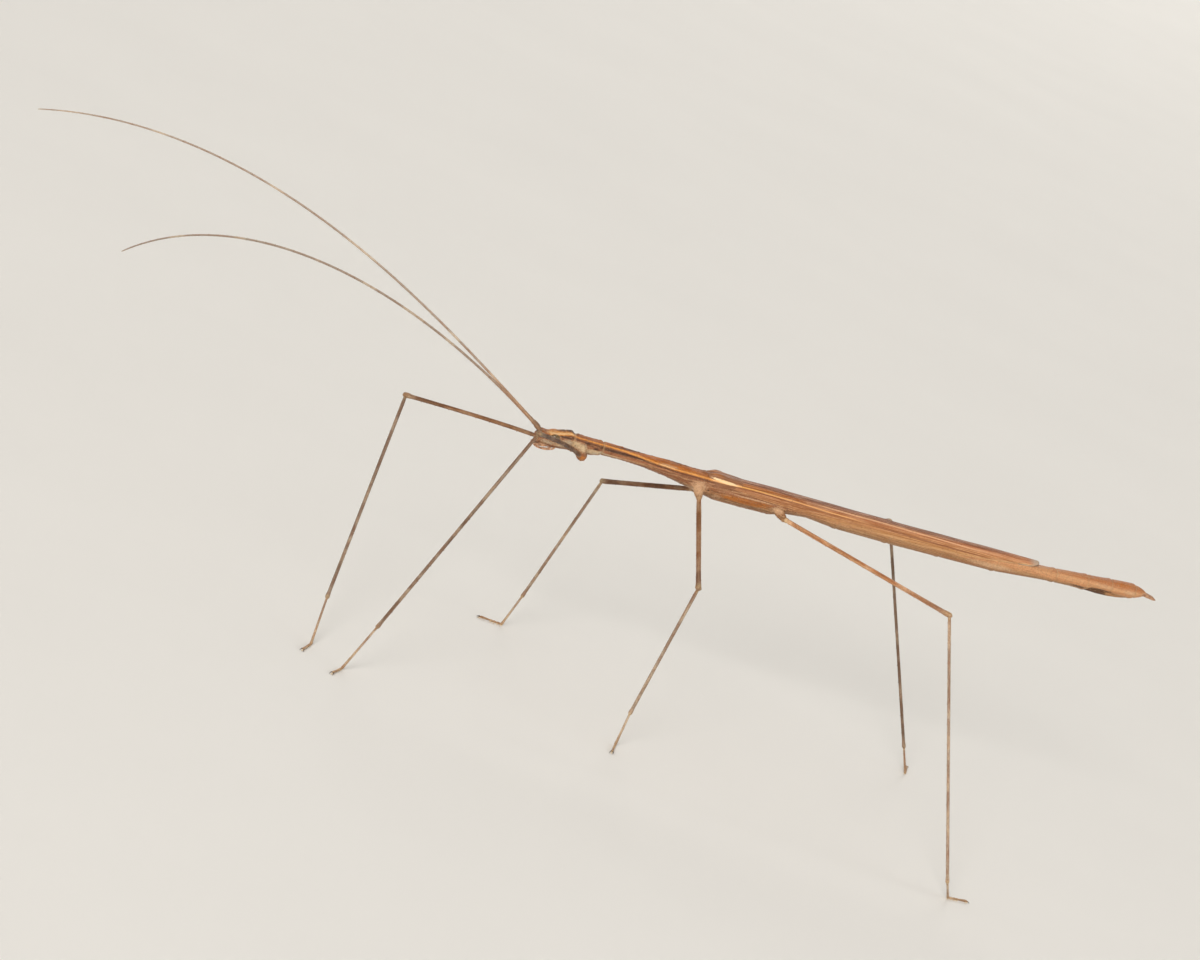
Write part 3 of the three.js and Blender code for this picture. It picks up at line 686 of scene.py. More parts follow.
def make_cuticle(name, markings, size, streak, pits, dull, groove, shine):
    """Hard skin of the body or the legs: grain with darker pits, and fine grooves."""
    n = Finish(name)
    lie = n.note("lie")
    grain, patches = n.use(GRAIN, lie, size, 0.5)
    streaks, _ = n.use(STREAKS, lie, *streak)
    shade, high, strength = pits
    tint = n.lay(n.marked(markings), (shade, n.fade(grain, 0.2, high, strength, 0.0)))
    rough = n.fade(patches, 0.3, 0.7, 0.36, dull)
    return n.dress(tint, rough, n.scaled(streaks, groove, grain), 0.022, Specular_IOR_Level=shine)


def make_body_finish():
    streak, pits = (1.6, 0.09, 3.0), ("3a2216", 0.75, 0.24)
    return make_cuticle("body cuticle", BODY_MARKINGS, 0.075, streak, pits, 0.62, -0.8, 0.42)


def make_leg_finish():
    streak, pits = (1.5, 0.07, 2.0), ("38231a", 0.7, 0.30)
    return make_cuticle("leg cuticle", LEG_MARKINGS, 0.06, streak, pits, 0.60, -0.6, 0.28)


def make_wing_finish():
    n = Finish("wing leather")
    lie = n.note("lie")
    place = n.vector("MULTIPLY", lie, (2.6, 7, 7))
    cells = n.add("TexVoronoi", props={"feature": "DISTANCE_TO_EDGE"}, Vector=place, Scale=1.0)
    net = n.fade(cells, 0.02, 0.12, 1.0, 0.0)
    streaks, _ = n.use(STREAKS, lie, 6.0, 0.07, 5.0)
    tint = n.lay(n.marked(WING_MARKINGS), ("6d3f2a", net, 0.16))
    height = n.scaled(net, 0.5, n.times(streaks, 0.7))
    return n.dress(tint, n.fade(streaks, 0.0, 1.0, 0.34, 0.55), height, 0.022, Specular_IOR_Level=0.45)


def make_fan_finish():
    n = Finish("folded wing membrane")
    streaks, broad = n.use(STREAKS, n.note("lie"), 9.0, 0.05, 1.0)
    tint = n.lay((streaks, "8c7462", "d2b898"), ("a88a70", broad, 0.4))
    return n.dress(tint, n.fade(streaks, 0.0, 1.0, 0.3, 0.5), streaks, 0.02)


def make_cover_finish():
    n = Finish("wing cover leather")
    lie = n.note("lie")
    fine, broad = n.use(STREAKS, lie, 2.0, 0.09, 6.0)
    clouds = n.noise(lie, 1.4, 4.0, 0.6)
    ragged = n.scaled(n.noise(lie, 4.0, 3.0, 0.6), 0.6, -0.3)
    tint = n.lay(
        (clouds, "74462a", "a06a42"),
        ((broad, "8e5224", "bf7636"), n.note("warm"), 0.7),
        ("5d3824", n.fade(fine, 0.5, 1.0), 0.42),
        ("c99a70", n.fade(n.note("vein"), 0.3, 0.9), 0.35),
        ("efb06c", n.use(LINE, n.note("stripe"), 0.09, lie, 0.06), 0.9),
        ((fine, "f7dcae", "f3c78c"), n.fade(n.sum("ADD", n.note("pale"), ragged), 0.28, 0.60), 0.95),
    )
    return n.dress(tint, n.fade(fine, 0.0, 1.0, 0.34, 0.55), n.scaled(fine, 0.6, clouds), 0.02)


def make_feeler_finish():
    n = Finish("feeler cuticle")
    grain, patches = n.use(GRAIN, n.note("lie"), 0.05, 0.3)
    return n.dress(n.marked(FEELER_MARKINGS), n.fade(patches, 0.3, 0.7, 0.4, 0.6), grain, 0.012)


def make_mouth_finish():
    n = Finish("mouthpart cuticle")
    lie = n.note("lie")
    grain, patches = n.use(GRAIN, lie, 0.06, 0.3)
    tint = n.lay(
        (n.fade(patches, 0.35, 0.62), "8c5e42", "cfa07a"),
        ("5a3a26", n.note("joint"), 0.7),
        ("5a3522", n.use(FLECKS, lie, 0.10, 0.5), 0.6),
    )
    return n.dress(tint, n.fade(patches, 0.3, 0.7, 0.3, 0.5), grain, 0.012)


def make_eye_finish():
    n = Finish("eye lens")
    place = n.millimetres()
    facets = n.add("TexVoronoi", Vector=place, Scale=24.0, Randomness=0.25)
    bars = n.noise(n.vector("MULTIPLY", place, (0.6, 0.6, 3.2)), 1.0, 2.0, 0.5)
    tint = n.lay((n.noise(place, 1.6, 3.0, 0.5), "3a2a16", "806238"), ("1c160d", n.fade(bars, 0.46, 0.62)))
    rough, domes = n.fade(facets, 0.1, 0.6, 0.12, 0.30), n.sum("SUBTRACT", 1.0, facets)
    return n.dress(tint, rough, domes, 0.012, Coat_Weight=0.4, Coat_Roughness=0.08)


def make_claw_finish():
    n = Finish("claw horn")
    lie = n.note("lie")
    shade = n.noise(lie, 9.0, 3.0, 0.6)
    horn = ((shade, "1c110b", "3a2416"), n.fade(n.split(lie)[0], 0.02, 0.32))
    tint = n.lay((shade, "9a6a40", "b98a5c"), horn)
    return n.dress(tint, n.fade(shade, 0.3, 0.7, 0.2, 0.38), shade, 0.006)


def make_pad_finish():
    n = Finish("foot pad")
    shade = n.noise(n.millimetres(), 7.0, 4.0, 0.6)
    tint = n.mix(shade, "c4ab8a", "ece0c8")
    return n.dress(tint, n.fade(shade, 0.3, 0.7, 0.45, 0.65), shade, 0.012)


def make_hair_finish(name, markings):
    """Hairs carry the colour of the skin at their root, a little paler."""
    n = Finish(name)
    return n.dress(n.mix(0.35, n.marked(markings), "e2c8a2"), 0.5)


BODY_FINISH, WING_FINISH, FAN_FINISH = make_body_finish(), make_wing_finish(), make_fan_finish()
COVER_FINISH, LEG_FINISH, FEELER_FINISH = make_cover_finish(), make_leg_finish(), make_feeler_finish()
MOUTH_FINISH, EYE_FINISH, CLAW_FINISH = make_mouth_finish(), make_eye_finish(), make_claw_finish()
PAD_FINISH = make_pad_finish()


# ---- Hairs ----
class Coat:
    """Fine hairs of solid mesh, rooted on the surfaces they are given."""

    def __init__(self, cells):
        self.shape = Shape()
        self.cells = cells
        self.used = 0

    def cover(self, grid, count, length, lean, part=slice(None), **notes):
        """Scatters hairs over a part of a grid; each has two bends and a point."""
        grid, notes = grid[part], {name: np.asarray(values)[part] for name, values in notes.items()}
        rings, sides = grid.shape[:2]
        ring = chance.integers(1, rings - 1, count)
        place = chance.integers(0, sides, count)
        root = grid[ring, place]
        forward = unit(grid[ring + 1, place] - grid[ring - 1, place])
        turn = grid[ring, (place + 1) % sides] - grid[ring, place - 1]
        out = unit(np.cross(turn, forward))
        out *= np.sign(np.sum(out * (root - grid[ring].mean(1)), -1, keepdims=True))
        jitter = chance.uniform(-0.5, 0.5, (count, 2, 1))
        root = root + jitter[:, 0] * (grid[ring + 1, place] - root) + 0.5 * jitter[:, 1] * turn
        tilt = (lean + chance.normal(0, 0.16, count))[:, None]
        stem = unit(out * np.cos(tilt) + forward * np.sin(tilt))
        far = unit(out * np.cos(tilt + 0.5) + forward * np.sin(tilt + 0.5))
        size = (length * chance.uniform(0.6, 1.3, count))[:, None]
        middle = root + 0.5 * size * stem
        first = unit(np.cross(stem, out + 0.3 * forward + 0.01))
        second = np.cross(stem, first)
        corners = [first, -0.5 * first + 0.87 * second, -0.5 * first - 0.87 * second]
        low = [root - 0.01 * out + HAIR_RADIUS * corner for corner in corners]
        high = [middle + 0.7 * HAIR_RADIUS * corner for corner in corners]
        points = np.stack([*low, *high, middle + 0.5 * size * far], 1)
        base = (7 * np.arange(count))[:, None]
        faces = []
        for a, b in ((0, 1), (1, 2), (2, 0)):
            faces += (base + [a, b, b + 3, a + 3]).tolist()
            faces += (base + [a + 3, b + 3, 6]).tolist()
        row, column = divmod(self.used, self.cells)
        within = 0.04 + 0.92 * np.stack([ring / rings, place / sides], -1)
        home = (np.array([column, row]) + within) / self.cells
        patch = 0.001 * np.array([(0, 0), (2, 0), (1, 1), (0.4, 1.4), (1.6, 1.4), (1, 2.2), (1, 3)])
        held = {name: np.repeat(values[ring, place], 7, axis=0) for name, values in notes.items()}
        self.shape.add(points, faces, uv=(home[:, None] + patch).reshape(-1, 2), **held)
        self.used += 1


body_coat, leg_coat, feeler_coat, mouth_coat = Coat(4), Coat(7), Coat(2), Coat(4)


# ---- The skin: head, thorax, abdomen and coxae ----
def patches(table, station, height):
    """Strongest of the soft patches at each point."""
    found = np.zeros(np.broadcast(station, height).shape)
    for middle, level, length, tall, strength in table:
        away = ((station - middle) / length) ** 2 + ((height - level) / tall) ** 2
        found = np.maximum(found, strength * np.exp(-0.7 * away))
    return found


def eye_reach(station, height):
    """1 on the eye's outline seen from the side, more outside it."""
    long, _, tall = EYE["radii"]
    return np.hypot((station - EYE["station"]) / long, (height - EYE["height"]) / tall)


def skin_notes(station, side, height):
    station, side, height = np.broadcast_arrays(station, side, height)
    return {
        "lie": lie_of(station, side, height),
        "soft": 0.9 * hump(eye_reach(station, height) - 1.12, 0.13) * (np.abs(side) > 0.4),
        "stripe": height - level_on(SIDE_STRIPE, station),
        "warm": patches(WARM_PATCHES, station, height),
        "pale": patches(PALE_PATCHES, station, height),
        "dark": patches(DARK_PATCHES, station, height),
    }


def granules(station, around, girth, start, end, count, rise):
    """Small round bumps scattered over part of the trunk."""
    found = np.zeros(np.broadcast(station, around).shape)
    for _ in range(count):
        middle, angle = chance.uniform(start, end), chance.uniform(0, TURN)
        rows = np.abs(station[:, 0] - middle) < 0.3
        away = np.hypot(station[rows] - middle, off_top(around - angle) * girth[rows])
        found[rows] += rise * chance.uniform(0.5, 1.2) * hump(away, chance.uniform(0.05, 0.10))
    return found


def trunk_relief(station, around, height, half, girth):
    """How far the skin stands over the plain outline: keels, grooves, joints and granules."""
    stripe = height - level_on(SIDE_STRIPE, station)
    from_top = off_top(around) * girth
    thorax = between(station, 4.9, 5.4, 20.5, 22.5)
    # Side keel and the groove under it, top keel, groove of the flank, and keel of the belly.
    rise = 0.045 * hump(stripe, 0.13) * between(station, 1.0, 2.0, 21, 23)
    rise -= 0.075 * hump(stripe + 0.28, 0.11) * thorax
    rise += 0.05 * hump(from_top, 0.07) * between(station, 8.4, 10, 20, 22)
    rise -= 0.05 * hump(from_top, 0.05) * smooth(station, 8.0, 7.6)
    rise -= 0.05 * hump(height - 0.35 + 0.12 * (station - 14), 0.09) * thorax
    below = smooth(-height, -0.3, 0.3)
    rise += 0.06 * hump(np.pi * girth - from_top, 0.12) * below * smooth(station, 33, 31)

    # Joints, the cross groove and front rim of the prothorax, and the fold of the abdomen's flank.
    for edge, groove in THORAX_JOINTS:
        rise += 0.05 * hump(station - edge + 0.32, 0.2) - groove * hump(station - edge, 0.10)
    for edge in ABDOMEN_JOINTS:
        rise += 0.055 * hump(station - edge + 0.42, 0.30) - 0.075 * hump(station - edge, 0.10)
    rise -= 0.06 * hump(station - 6.05 + 0.25 * np.cos(around), 0.09) * smooth(height, 0.6, 1.0)
    rise += 0.05 * hump(station - 4.95, 0.12) * smooth(height, 0.2, 0.7)
    flank = hump(height + 0.25 - 0.10 * np.sin(station), 0.10)
    rise -= 0.04 * flank * between(station, 33, 36, 75, 77)

    # Brows over the feelers, rim of the eye, crease behind it, and groove of the cheek.
    out = np.abs(np.sin(around))
    rise += 0.12 * hump(station - 0.62, 0.34) * hump(out * half - 0.42, 0.26) * (np.cos(around) > 0)
    reach = eye_reach(station, height)
    rise += (0.07 * hump(reach - 1.1, 0.22) - 0.05 * hump(reach - 1.5, 0.16)) * (out > 0.3)
    rise -= 0.05 * hump(station - 3.1 - 0.3 * np.cos(around), 0.10) * smooth(height, 0.0, 0.6)
    rise -= 0.05 * hump(height - 0.12, 0.07) * between(station, 0.3, 0.7, 3.6, 4.2)
    for scatter in GRANULES:
        rise += granules(station, around, girth, *scatter)

    # The skin sinks under the wings.
    covered = smooth(height - level_on(WING_EDGE, station), -0.02, 0.10)
    rise -= 0.22 * covered * between(station, 22.4, 23.4, 59, 63.5)
    return rise * between(station, -0.12, 0.1, 78.7, 78.95)


TRUNK_SIDES = 112
FRONT_RINGS = 640


def add_trunk(skin):
    spans = (-0.12, 8.3, 0.05), (8.3, 21.5, 0.075), (21.5, 64, 0.14), (64, 78.95, 0.085)
    station, around = steps(*spans)[:, None], circle(TRUNK_SIDES)
    middle, tall, half = section_at(station, OUTLINE)
    rise = trunk_relief(station, around, middle + tall * np.cos(around), half, (tall + half) / 2)
    side = (half + rise) * np.sin(around)
    height = middle + (tall + rise) * np.cos(around)
    notes = skin_notes(station, side, height)
    soft = hump(station - 4.55, 0.14) + hump(station - 8.2, 0.10)
    soft = soft + sum(hump(station - edge, 0.07) for edge in ABDOMEN_JOINTS)
    notes["soft"] = np.clip(notes["soft"] + soft, 0, 1)
    grid = on_body(station, side, height)
    skin.add_grid(grid, **notes)
    body_coat.cover(grid, 1900, length=0.11, lean=1.0, part=slice(2, FRONT_RINGS), **notes)
    body_coat.cover(grid, 900, length=0.12, lean=1.0, part=slice(FRONT_RINGS, None), **notes)


def add_genital_plate(skin):
    station, around = steps((70.9, 76.5, 0.08))[:, None], circle(40)
    middle, tall, half = section_at(station, GENITAL_PLATE, 0.25)
    side = half * np.sin(around)
    height = middle + tall * np.cos(around) - 0.03 * hump(side, 0.08) * (np.cos(around) < 0)
    notes = skin_notes(station, side, height)
    # Painted shadow, darkest at the plate's front where it tucks under the abdomen.
    notes["dark"] = smooth(station, 75.4, 72.4) + 0 * side
    notes["pale"] = notes["soft"] = 0 * side
    skin.add_grid(on_body(station, side, height), **notes)


def add_feeler_socket(skin, sign):
    station, side, height = FEELER_ROOT[0] + 0.12, sign * FEELER_ROOT[1], FEELER_ROOT[2] - 0.05
    grid = ball(spot(station, side, height), BODY_AXES, (0.34, 0.37, 0.33), 20, 28)
    level = height + grid[..., 2] - grid[..., 2].mean()
    skin.add_grid(grid, flip=True, **skin_notes(station, grid[..., 1], level))


def add_coxa(skin, pair, side_name):
    """A wedge that grows out of the trunk and narrows to the neck of the leg."""
    hip, sign = HIPS[pair], SIDES[side_name]
    station, side, height = hip["place"]
    tip = spot(station, sign * side, height)
    root = spot(station - hip["lean"], sign * 0.5 * side, height + hip["rise"])
    onward = hip["reach"] * direction(sign, *LEG_POSES[f"{pair}_{side_name}"]["femur"])
    path, along = curved_path([root, 0.4 * root + 0.6 * tip, tip, tip + onward + 0.05 * (tip - root)], 48)
    part = along / along[-1]
    wide = hip["coxa"]
    neck = [(0.58, 0.90 * wide), (0.75, 0.45), (0.87, 0.37), (0.96, 0.33)]
    if pair == "fore":
        neck = [(0.60, 0.88 * wide), (0.80, 0.58), (0.92, 0.42)]
    radii = eased([(0, 0.9 * wide), (0.35, wide), *neck, (1, 0.20)], part, 0.12)[0]
    grid, _, _ = wrap(path, keeled(radii, circle(36), (0.6, 2.2, 3.9, 5.3), 0.05), 36)
    x, _, z = np.moveaxis(grid - CENTRING - [0, 0, AXIS_HEIGHT], -1, 0)
    ahead = x * math.cos(BODY_RISE) + z * math.sin(BODY_RISE) + BODY_LENGTH / 2
    level = z * math.cos(BODY_RISE) - x * math.sin(BODY_RISE)
    notes = skin_notes(ahead, grid[..., 1], level)
    notes["stripe"] = np.full(ahead.shape, -1.0)
    notes["soft"] = 0.6 * hump(part - 0.93, 0.05)[:, None] + 0 * ahead
    skin.add_grid(grid, **notes)
    body_coat.cover(grid, 60, length=0.15, lean=0.9, part=slice(len(path) // 2, None), **notes)


def make_skin():
    skin = Shape()
    add_trunk(skin)
    add_genital_plate(skin)
    for sign in SIDES.values():
        add_feeler_socket(skin, sign)
    nodes = ["head", "prothorax", "mesothorax", "metathorax", "operculum"]
    nodes += [f"abdomen_{part}" for part in ("front", "middle", "rear", "tip")]
    for pair in HIPS:
        for side_name in SIDES:
            add_coxa(skin, pair, side_name)
            nodes.append(f"coxa_{pair}_{side_name}")
    skin.build("skin", [BODY_FINISH], "cuticle", *nodes)


make_skin()


# ---- Wings ----
VEINS = (0.10, 0.22, 0.34, 0.46, 0.57, 0.68, 0.79, 0.90)
COVER_VEINS = (0.2, 0.34, 0.5, 0.64, 0.8)
# The leathery front of the wing and two folded layers under it: first and last station, how far
# each is off the wing's edge and off the body, its thickness and how round its tip is.
LEATHER = {"span": (22.4, 64.35), "columns": 60, "edge": 0.0, "lift": 0.0, "thick": 0.10, "round": 0.8}
FAN = {"span": (30.0, 64.1), "columns": 44, "edge": -0.07, "lift": -0.13, "thick": 0.10, "round": 0.7}
INNER = {"span": (48.0, 64.0), "columns": 40, "edge": -0.02, "lift": -0.27, "thick": 0.12, "round": 0.9}


def wing_section(station):
    """Middle height, half height and half width of the wings' outer surface."""
    top = eased(WING_TOP, station, 1.0)[0]
    _, bottom, half = eased(OUTLINE, station, 1.0)
    bottom = np.where(station > 59, -1.66 + 0.08 * (station - 59), bottom)
    half = np.where(station > 59, 1.24 - 0.03 * (station - 59), half)
    return (top + bottom) / 2, (top - bottom) / 2, half


def folded_sheet(sign, station, section, angle, heights_out, marks):
    """An outer and an inner surface round the body, joined into closed rings, and their notes."""
    middle, tall, half = section
    grids, notes = [], []
    for away in heights_out:
        side = sign * (half + away) * np.sin(angle)
        level = middle + (tall + away) * np.cos(angle)
        grids.append(on_body(station, side, level))
        found = {name: mark(station, level) + 0 * level for name, mark in marks.items()}
        found["lie"] = lie_of(station, side, level)
        found["stripe"] = level - level_on(SIDE_STRIPE, station)
        notes.append(found)
    grids[1] = grids[1][:, ::-1]
    joined = {name: np.concatenate([notes[0][name], notes[1][name][:, ::-1]], 1) for name in notes[0]}
    return np.concatenate(grids, 1), joined


def wing_grid(sign, layer, high, over, vein_rise=0.0):
    """One layer of a folded wing, from its first to its last station."""
    start, end = layer["span"]
    across = np.linspace(0, 1, layer["columns"])
    length = np.linspace(0, 1, int((end - start) / 0.16))[:, None]
    reach = end - layer["round"] * np.abs((across - 0.42) / 0.58) ** 3.6
    station = start + length * (reach - start)
    middle, tall, half = wing_section(station)
    edge = level_on(WING_EDGE, station) + layer["edge"]
    edge_angle = np.arccos(np.clip((edge - middle) / tall, -1, 1))
    angle = high + across * (edge_angle - high)
    vein = sum(hump(across - place - 0.012 * np.sin(3 * place + 0.12 * station), 0.014) for place in VEINS)
    outward = layer["lift"] + over + vein_rise * vein + 0.02 * hump(across - 1, 0.03)
    outward = outward + 0.009 * np.sin(0.9 * station + 9 * across)
    depths = (0.0, layer["thick"] * smooth(length, 0, 0.02) ** 0.5)
    marks = {
        "edge": lambda *_: (edge_angle - angle) * tall,
        "vein": lambda *_: vein,
        "pink": lambda s, h: h - level_on(PINK_LINE, s),
        "streak": lambda s, h: h - level_on(DARK_LINE, s),
    }
    return folded_sheet(sign, station, (middle, tall, half), angle, [outward - d for d in depths], marks)


def make_hindwing(name, sign):
    """The leathery front of the wing over two pleated layers; the left wing lies on the right."""
    wing = Shape()
    over, high = (0.05, -0.16) if name == "left" else (0.0, 0.03)
    grid, notes = wing_grid(sign, LEATHER, high, over, vein_rise=0.022)
    wing.add_grid(grid, flip=sign > 0, **notes)
    pleats = 0.03 * np.sin(np.linspace(0, 60, 2 * FAN["columns"]))[:, None] * UP
    for layer, high in ((FAN, 0.10), (INNER, 0.14)):
        grid, notes = wing_grid(sign, layer, high, over)
        wing.add_grid(grid + pleats[: grid.shape[1]], 1, flip=sign > 0, **notes)
    wing.build(f"hindwing_{name}_looks", [WING_FINISH, FAN_FINISH], "wing", f"hindwing_{name}")


def make_tegmen(name, sign):
    """A short wing cover: an oval scale with a hump near its front."""
    start, end, centre = 21.55, 26.2, 23.6
    across = np.linspace(0, 1, 40)[None]
    length = np.linspace(0, 1, 64)[:, None]
    oval = np.sqrt(np.clip(1 - (2 * across - 1) ** 2, 0, 1))
    station = centre + (length - 0.5) * (end - start) * (0.35 + 0.65 * oval)
    middle, tall, half = section_at(station, OUTLINE)
    lower = 0.62 - 0.28 * np.sin(np.pi * np.clip((station - start) / (end - start), 0, 1))
    edge_angle = np.arccos(np.clip((lower - middle) / tall, -1, 1))
    angle = 0.05 + across * (edge_angle - 0.05)
    vein = sum(hump(across - place, 0.02) for place in COVER_VEINS)
    swell = 0.20 * hump(station - 22.4, 0.75) * hump(across - 0.36, 0.22)
    rounded = 0.12 * (np.clip(np.sin(np.pi * length), 0, 1) * np.clip(np.sin(np.pi * across), 0, 1)) ** 0.7
    outward = 0.01 + rounded + swell + 0.018 * vein
    marks = {
        "vein": lambda *_: vein,
        "pale": lambda s, h: hump(s - 23.4, 1.75) * hump(h - 0.94 + 0.05 * (s - 23.3), 0.17),
        "warm": lambda s, h: hump(s - 22.3, 1.0) * hump(h - 1.45, 0.25),
    }
    grid, notes = folded_sheet(sign, station, (middle, tall, half), angle, [outward, outward - 0.14], marks)
    cover = Shape()
    cover.add_grid(grid, flip=sign > 0, **notes)
    cover.build(f"tegmen_{name}_looks", [COVER_FINISH], "wing", f"tegmen_{name}")


for side_name, sign in SIDES.items():
    make_hindwing(side_name, sign)
    make_tegmen(side_name, sign)


# ---- Head pieces ----
def jointed(shape, path, along, table, joints, sides, groove=0.25, coat=None, hairs=0, **notes):
    """A tapered tube with a nick at each joint, and hairs if a coat is given."""
    nick = sum((hump(along - joint, 0.05) for joint in joints), 0 * along)
    swell = sum((hump(along - joint + 0.14, 0.09) for joint in joints), 0 * along)
    radii = eased(table, along, 0.15)[0] * (1 - groove * nick + 0.4 * groove * swell)
    grid, side, height = wrap(path, radii, sides)
    held = {"lie": lie_of(along[:, None], side, height), "joint": np.clip(nick, 0, 1)[:, None] + 0 * side}
    held.update({name: np.full(side.shape, value) for name, value in notes.items()})
    shape.add_grid(grid, **held)
    if coat:
        coat.cover(grid, hairs, length=0.13, lean=0.9, **held)


# The palps: radius, joints along them, and their line as station, side and height.
PALPS = [
    (0.100, (0.5, 1.1, 1.9, 2.6), [
        (2.6, 0.60, -0.42), (2.3, 0.80, -0.62), (1.5, 0.88, -0.82), (0.7, 0.82, -0.86),
        (0.15, 0.68, -0.74), (-0.18, 0.52, -0.52),
    ]),
    (0.088, (0.6, 1.3, 2.0), [
        (2.2, 0.34, -0.58), (1.8, 0.44, -0.78), (1.1, 0.48, -0.90), (0.5, 0.40, -0.86),
        (0.16, 0.28, -0.70),
    ]),
    (0.095, (0.7,), [(1.6, 0.50, -0.48), (1.0, 0.56, -0.62), (0.5, 0.50, -0.64), (0.2, 0.36, -0.54)]),
]


def make_mouth():
    """Face plates, jaws and three pairs of palps."""
    mouth = Shape()

    def lump(station, side, height, radii, joint, notch=0.0):
        centre = spot(station, side, height)
        grid = ball(centre, BODY_AXES, radii, 22, 30)
        low = np.clip((centre[2] - grid[..., 2]) / radii[2], 0, 1)
        grid[..., 2] += notch * radii[2] * low * hump(grid[..., 1] - centre[1], 0.10)
        mouth.add_grid(grid, flip=True, lie=grid - centre + station, joint=np.full(grid.shape[:2], joint))

    def palp(wide, joints, line, sign):
        path, along = curved_path([spot(s, sign * y, h) for s, y, h in line], 90)
        end = along[-1]
        table = [(0, 0.8), (0.3, 1.0), (0.8 * end, 0.95), (end - 0.1, 0.7), (end, 0.25)]
        table = [(at, wide * part) for at, part in table]
        jointed(mouth, path, along, table, joints, sides=16, coat=mouth_coat, hairs=40, groove=0.22)

    # Face plate, notched upper lip, lower lip and throat, then a jaw, its tip and its base.
    lump(0.20, 0.0, 0.10, (0.22, 0.40, 0.16), 0.6)
    lump(0.19, 0.0, -0.18, (0.15, 0.28, 0.26), 0.55, notch=0.35)
    lump(0.40, 0.0, -0.46, (0.30, 0.24, 0.12), 0.7)
    lump(1.60, 0.0, -0.56, (1.20, 0.36, 0.14), 0.4)
    for sign in SIDES.values():
        lump(0.62, 0.34 * sign, -0.20, (0.40, 0.15, 0.22), 0.8)
        lump(0.26, 0.16 * sign, -0.40, (0.14, 0.09, 0.10), 1.0)
        lump(1.50, 0.46 * sign, -0.44, (1.00, 0.20, 0.13), 0.2)
        for row in PALPS:
            palp(*row, sign)
    mouth.build("mouthparts_looks", [MOUTH_FINISH], "cuticle", "mouthparts")


def make_eye(name, sign):
    eye = Shape()
    centre = spot(EYE["station"], sign * EYE["side"], EYE["height"])
    long, deep, tall = EYE["radii"]
    grid = ball(centre, [BODY_AXES[1] * sign, BODY_AXES[0], BODY_AXES[2]], (deep, long, tall), 36, 48)
    eye.add_grid(grid, flip=sign > 0)
    eye.build(f"eye_{name}_looks", [EYE_FINISH], "eye", f"eye_{name}")


def feeler_path(name, sign):
    """The feeler's line; its heading and rise change along it as curves of three terms."""
    bend = FEELER_BENDS[name]
    root = spot(FEELER_ROOT[0], sign * FEELER_ROOT[1], FEELER_ROOT[2])
    first = direction(sign, bend["heading"][0], bend["rise"][0])
    count = FEELER_RINGS * 12
    path = [root - 0.3 * first, root, root + SCAPE_LENGTH * first]
    for i in range(count):
        t = (i + 0.5) / count
        heading, rise = (a + b * t + c * t * t for a, b, c in (bend["heading"], bend["rise"]))
        path.append(path[-1] + FEELER_LENGTH / count * direction(sign, heading, rise))
    path = np.array(path)
    return path, run_of(path)


def make_feeler(name, sign):
    """Scape, pedicel and a long whip of many rings, each a little longer than the last."""
    feeler = Shape()
    raw, spaced = feeler_path(name, sign)
    total = spaced[-1]
    rings = np.linspace(0.75, 1.25, FEELER_RINGS)
    joints = [1.75, 2.25, *(2.25 + (total - 2.3) * np.cumsum(rings) / rings.sum())[:-1]]
    near = [np.array(joints) + away for away in (-0.14, -0.05, 0, 0.05)]
    along = np.unique(np.concatenate([np.linspace(0, total, 620), *near]))
    along = along[along <= total]
    path = np.stack([np.interp(along, spaced, column) for column in raw.T], -1)
    table = [(0, 0.17), (0.56, 0.19), (0.78, 0.275), (1.2, 0.305), (1.6, 0.26), (1.8, 0.20), (2.2, 0.215)]
    table += [(2.5, 0.175), (8, 0.15), (30, 0.13), (50, 0.115), (66, 0.088)]
    table += [(total - 0.3, 0.06), (total, 0.02)]
    looks = {"groove": 0.20, "hairs": 2000, "seed": 2.0 if name == "left" else 7.0}
    jointed(feeler, path, along, table, joints, sides=14, coat=feeler_coat, **looks)
    nodes = [f"antenna_{name}_{part}" for part in ("base", 1, 2, 3, 4)]
    feeler.build(f"feeler_{name}", [FEELER_FINISH], "feeler", *nodes)


make_mouth()
for side_name, sign in SIDES.items():
    make_eye(side_name, sign)
    make_feeler(side_name, sign)


# ---- Legs ----
KEELS = (0.55, -0.55, 1.65, -1.65, 2.7, -2.7)
LIMB_SIDES = 24
RING_SPACING = 0.14
FOOT_CUTS = (0.0, 0.66, 1.16, 1.58, 2.86)
ON_FLOOR = np.array([1.0, 1.0, 0.0])


def leg_joints(pair, side_name):
    """Hip, knee, ankle, heel and toe; a section drops to a given height, whatever its length."""
    sign, sizes, pose = SIDES[side_name], LEG_SIZES[pair], LEG_POSES[f"{pair}_{side_name}"]
    station, side, height = HIPS[pair]["place"]
    joints = [spot(station, sign * side, height)]
    joints.append(joints[0] + sizes["femur"] * direction(sign, *pose["femur"]))
    lengths = (sizes["tibia"], sizes["basitarsus"], TOES_LENGTH)
    for length, heading, height in zip(lengths, pose["down"], (pose["ankle"], FOOT_HEIGHT, FOOT_HEIGHT)):
        rise = math.degrees(math.asin((height - joints[-1][2]) / length))
        joints.append(joints[-1] + length * direction(sign, heading, rise))
    return joints


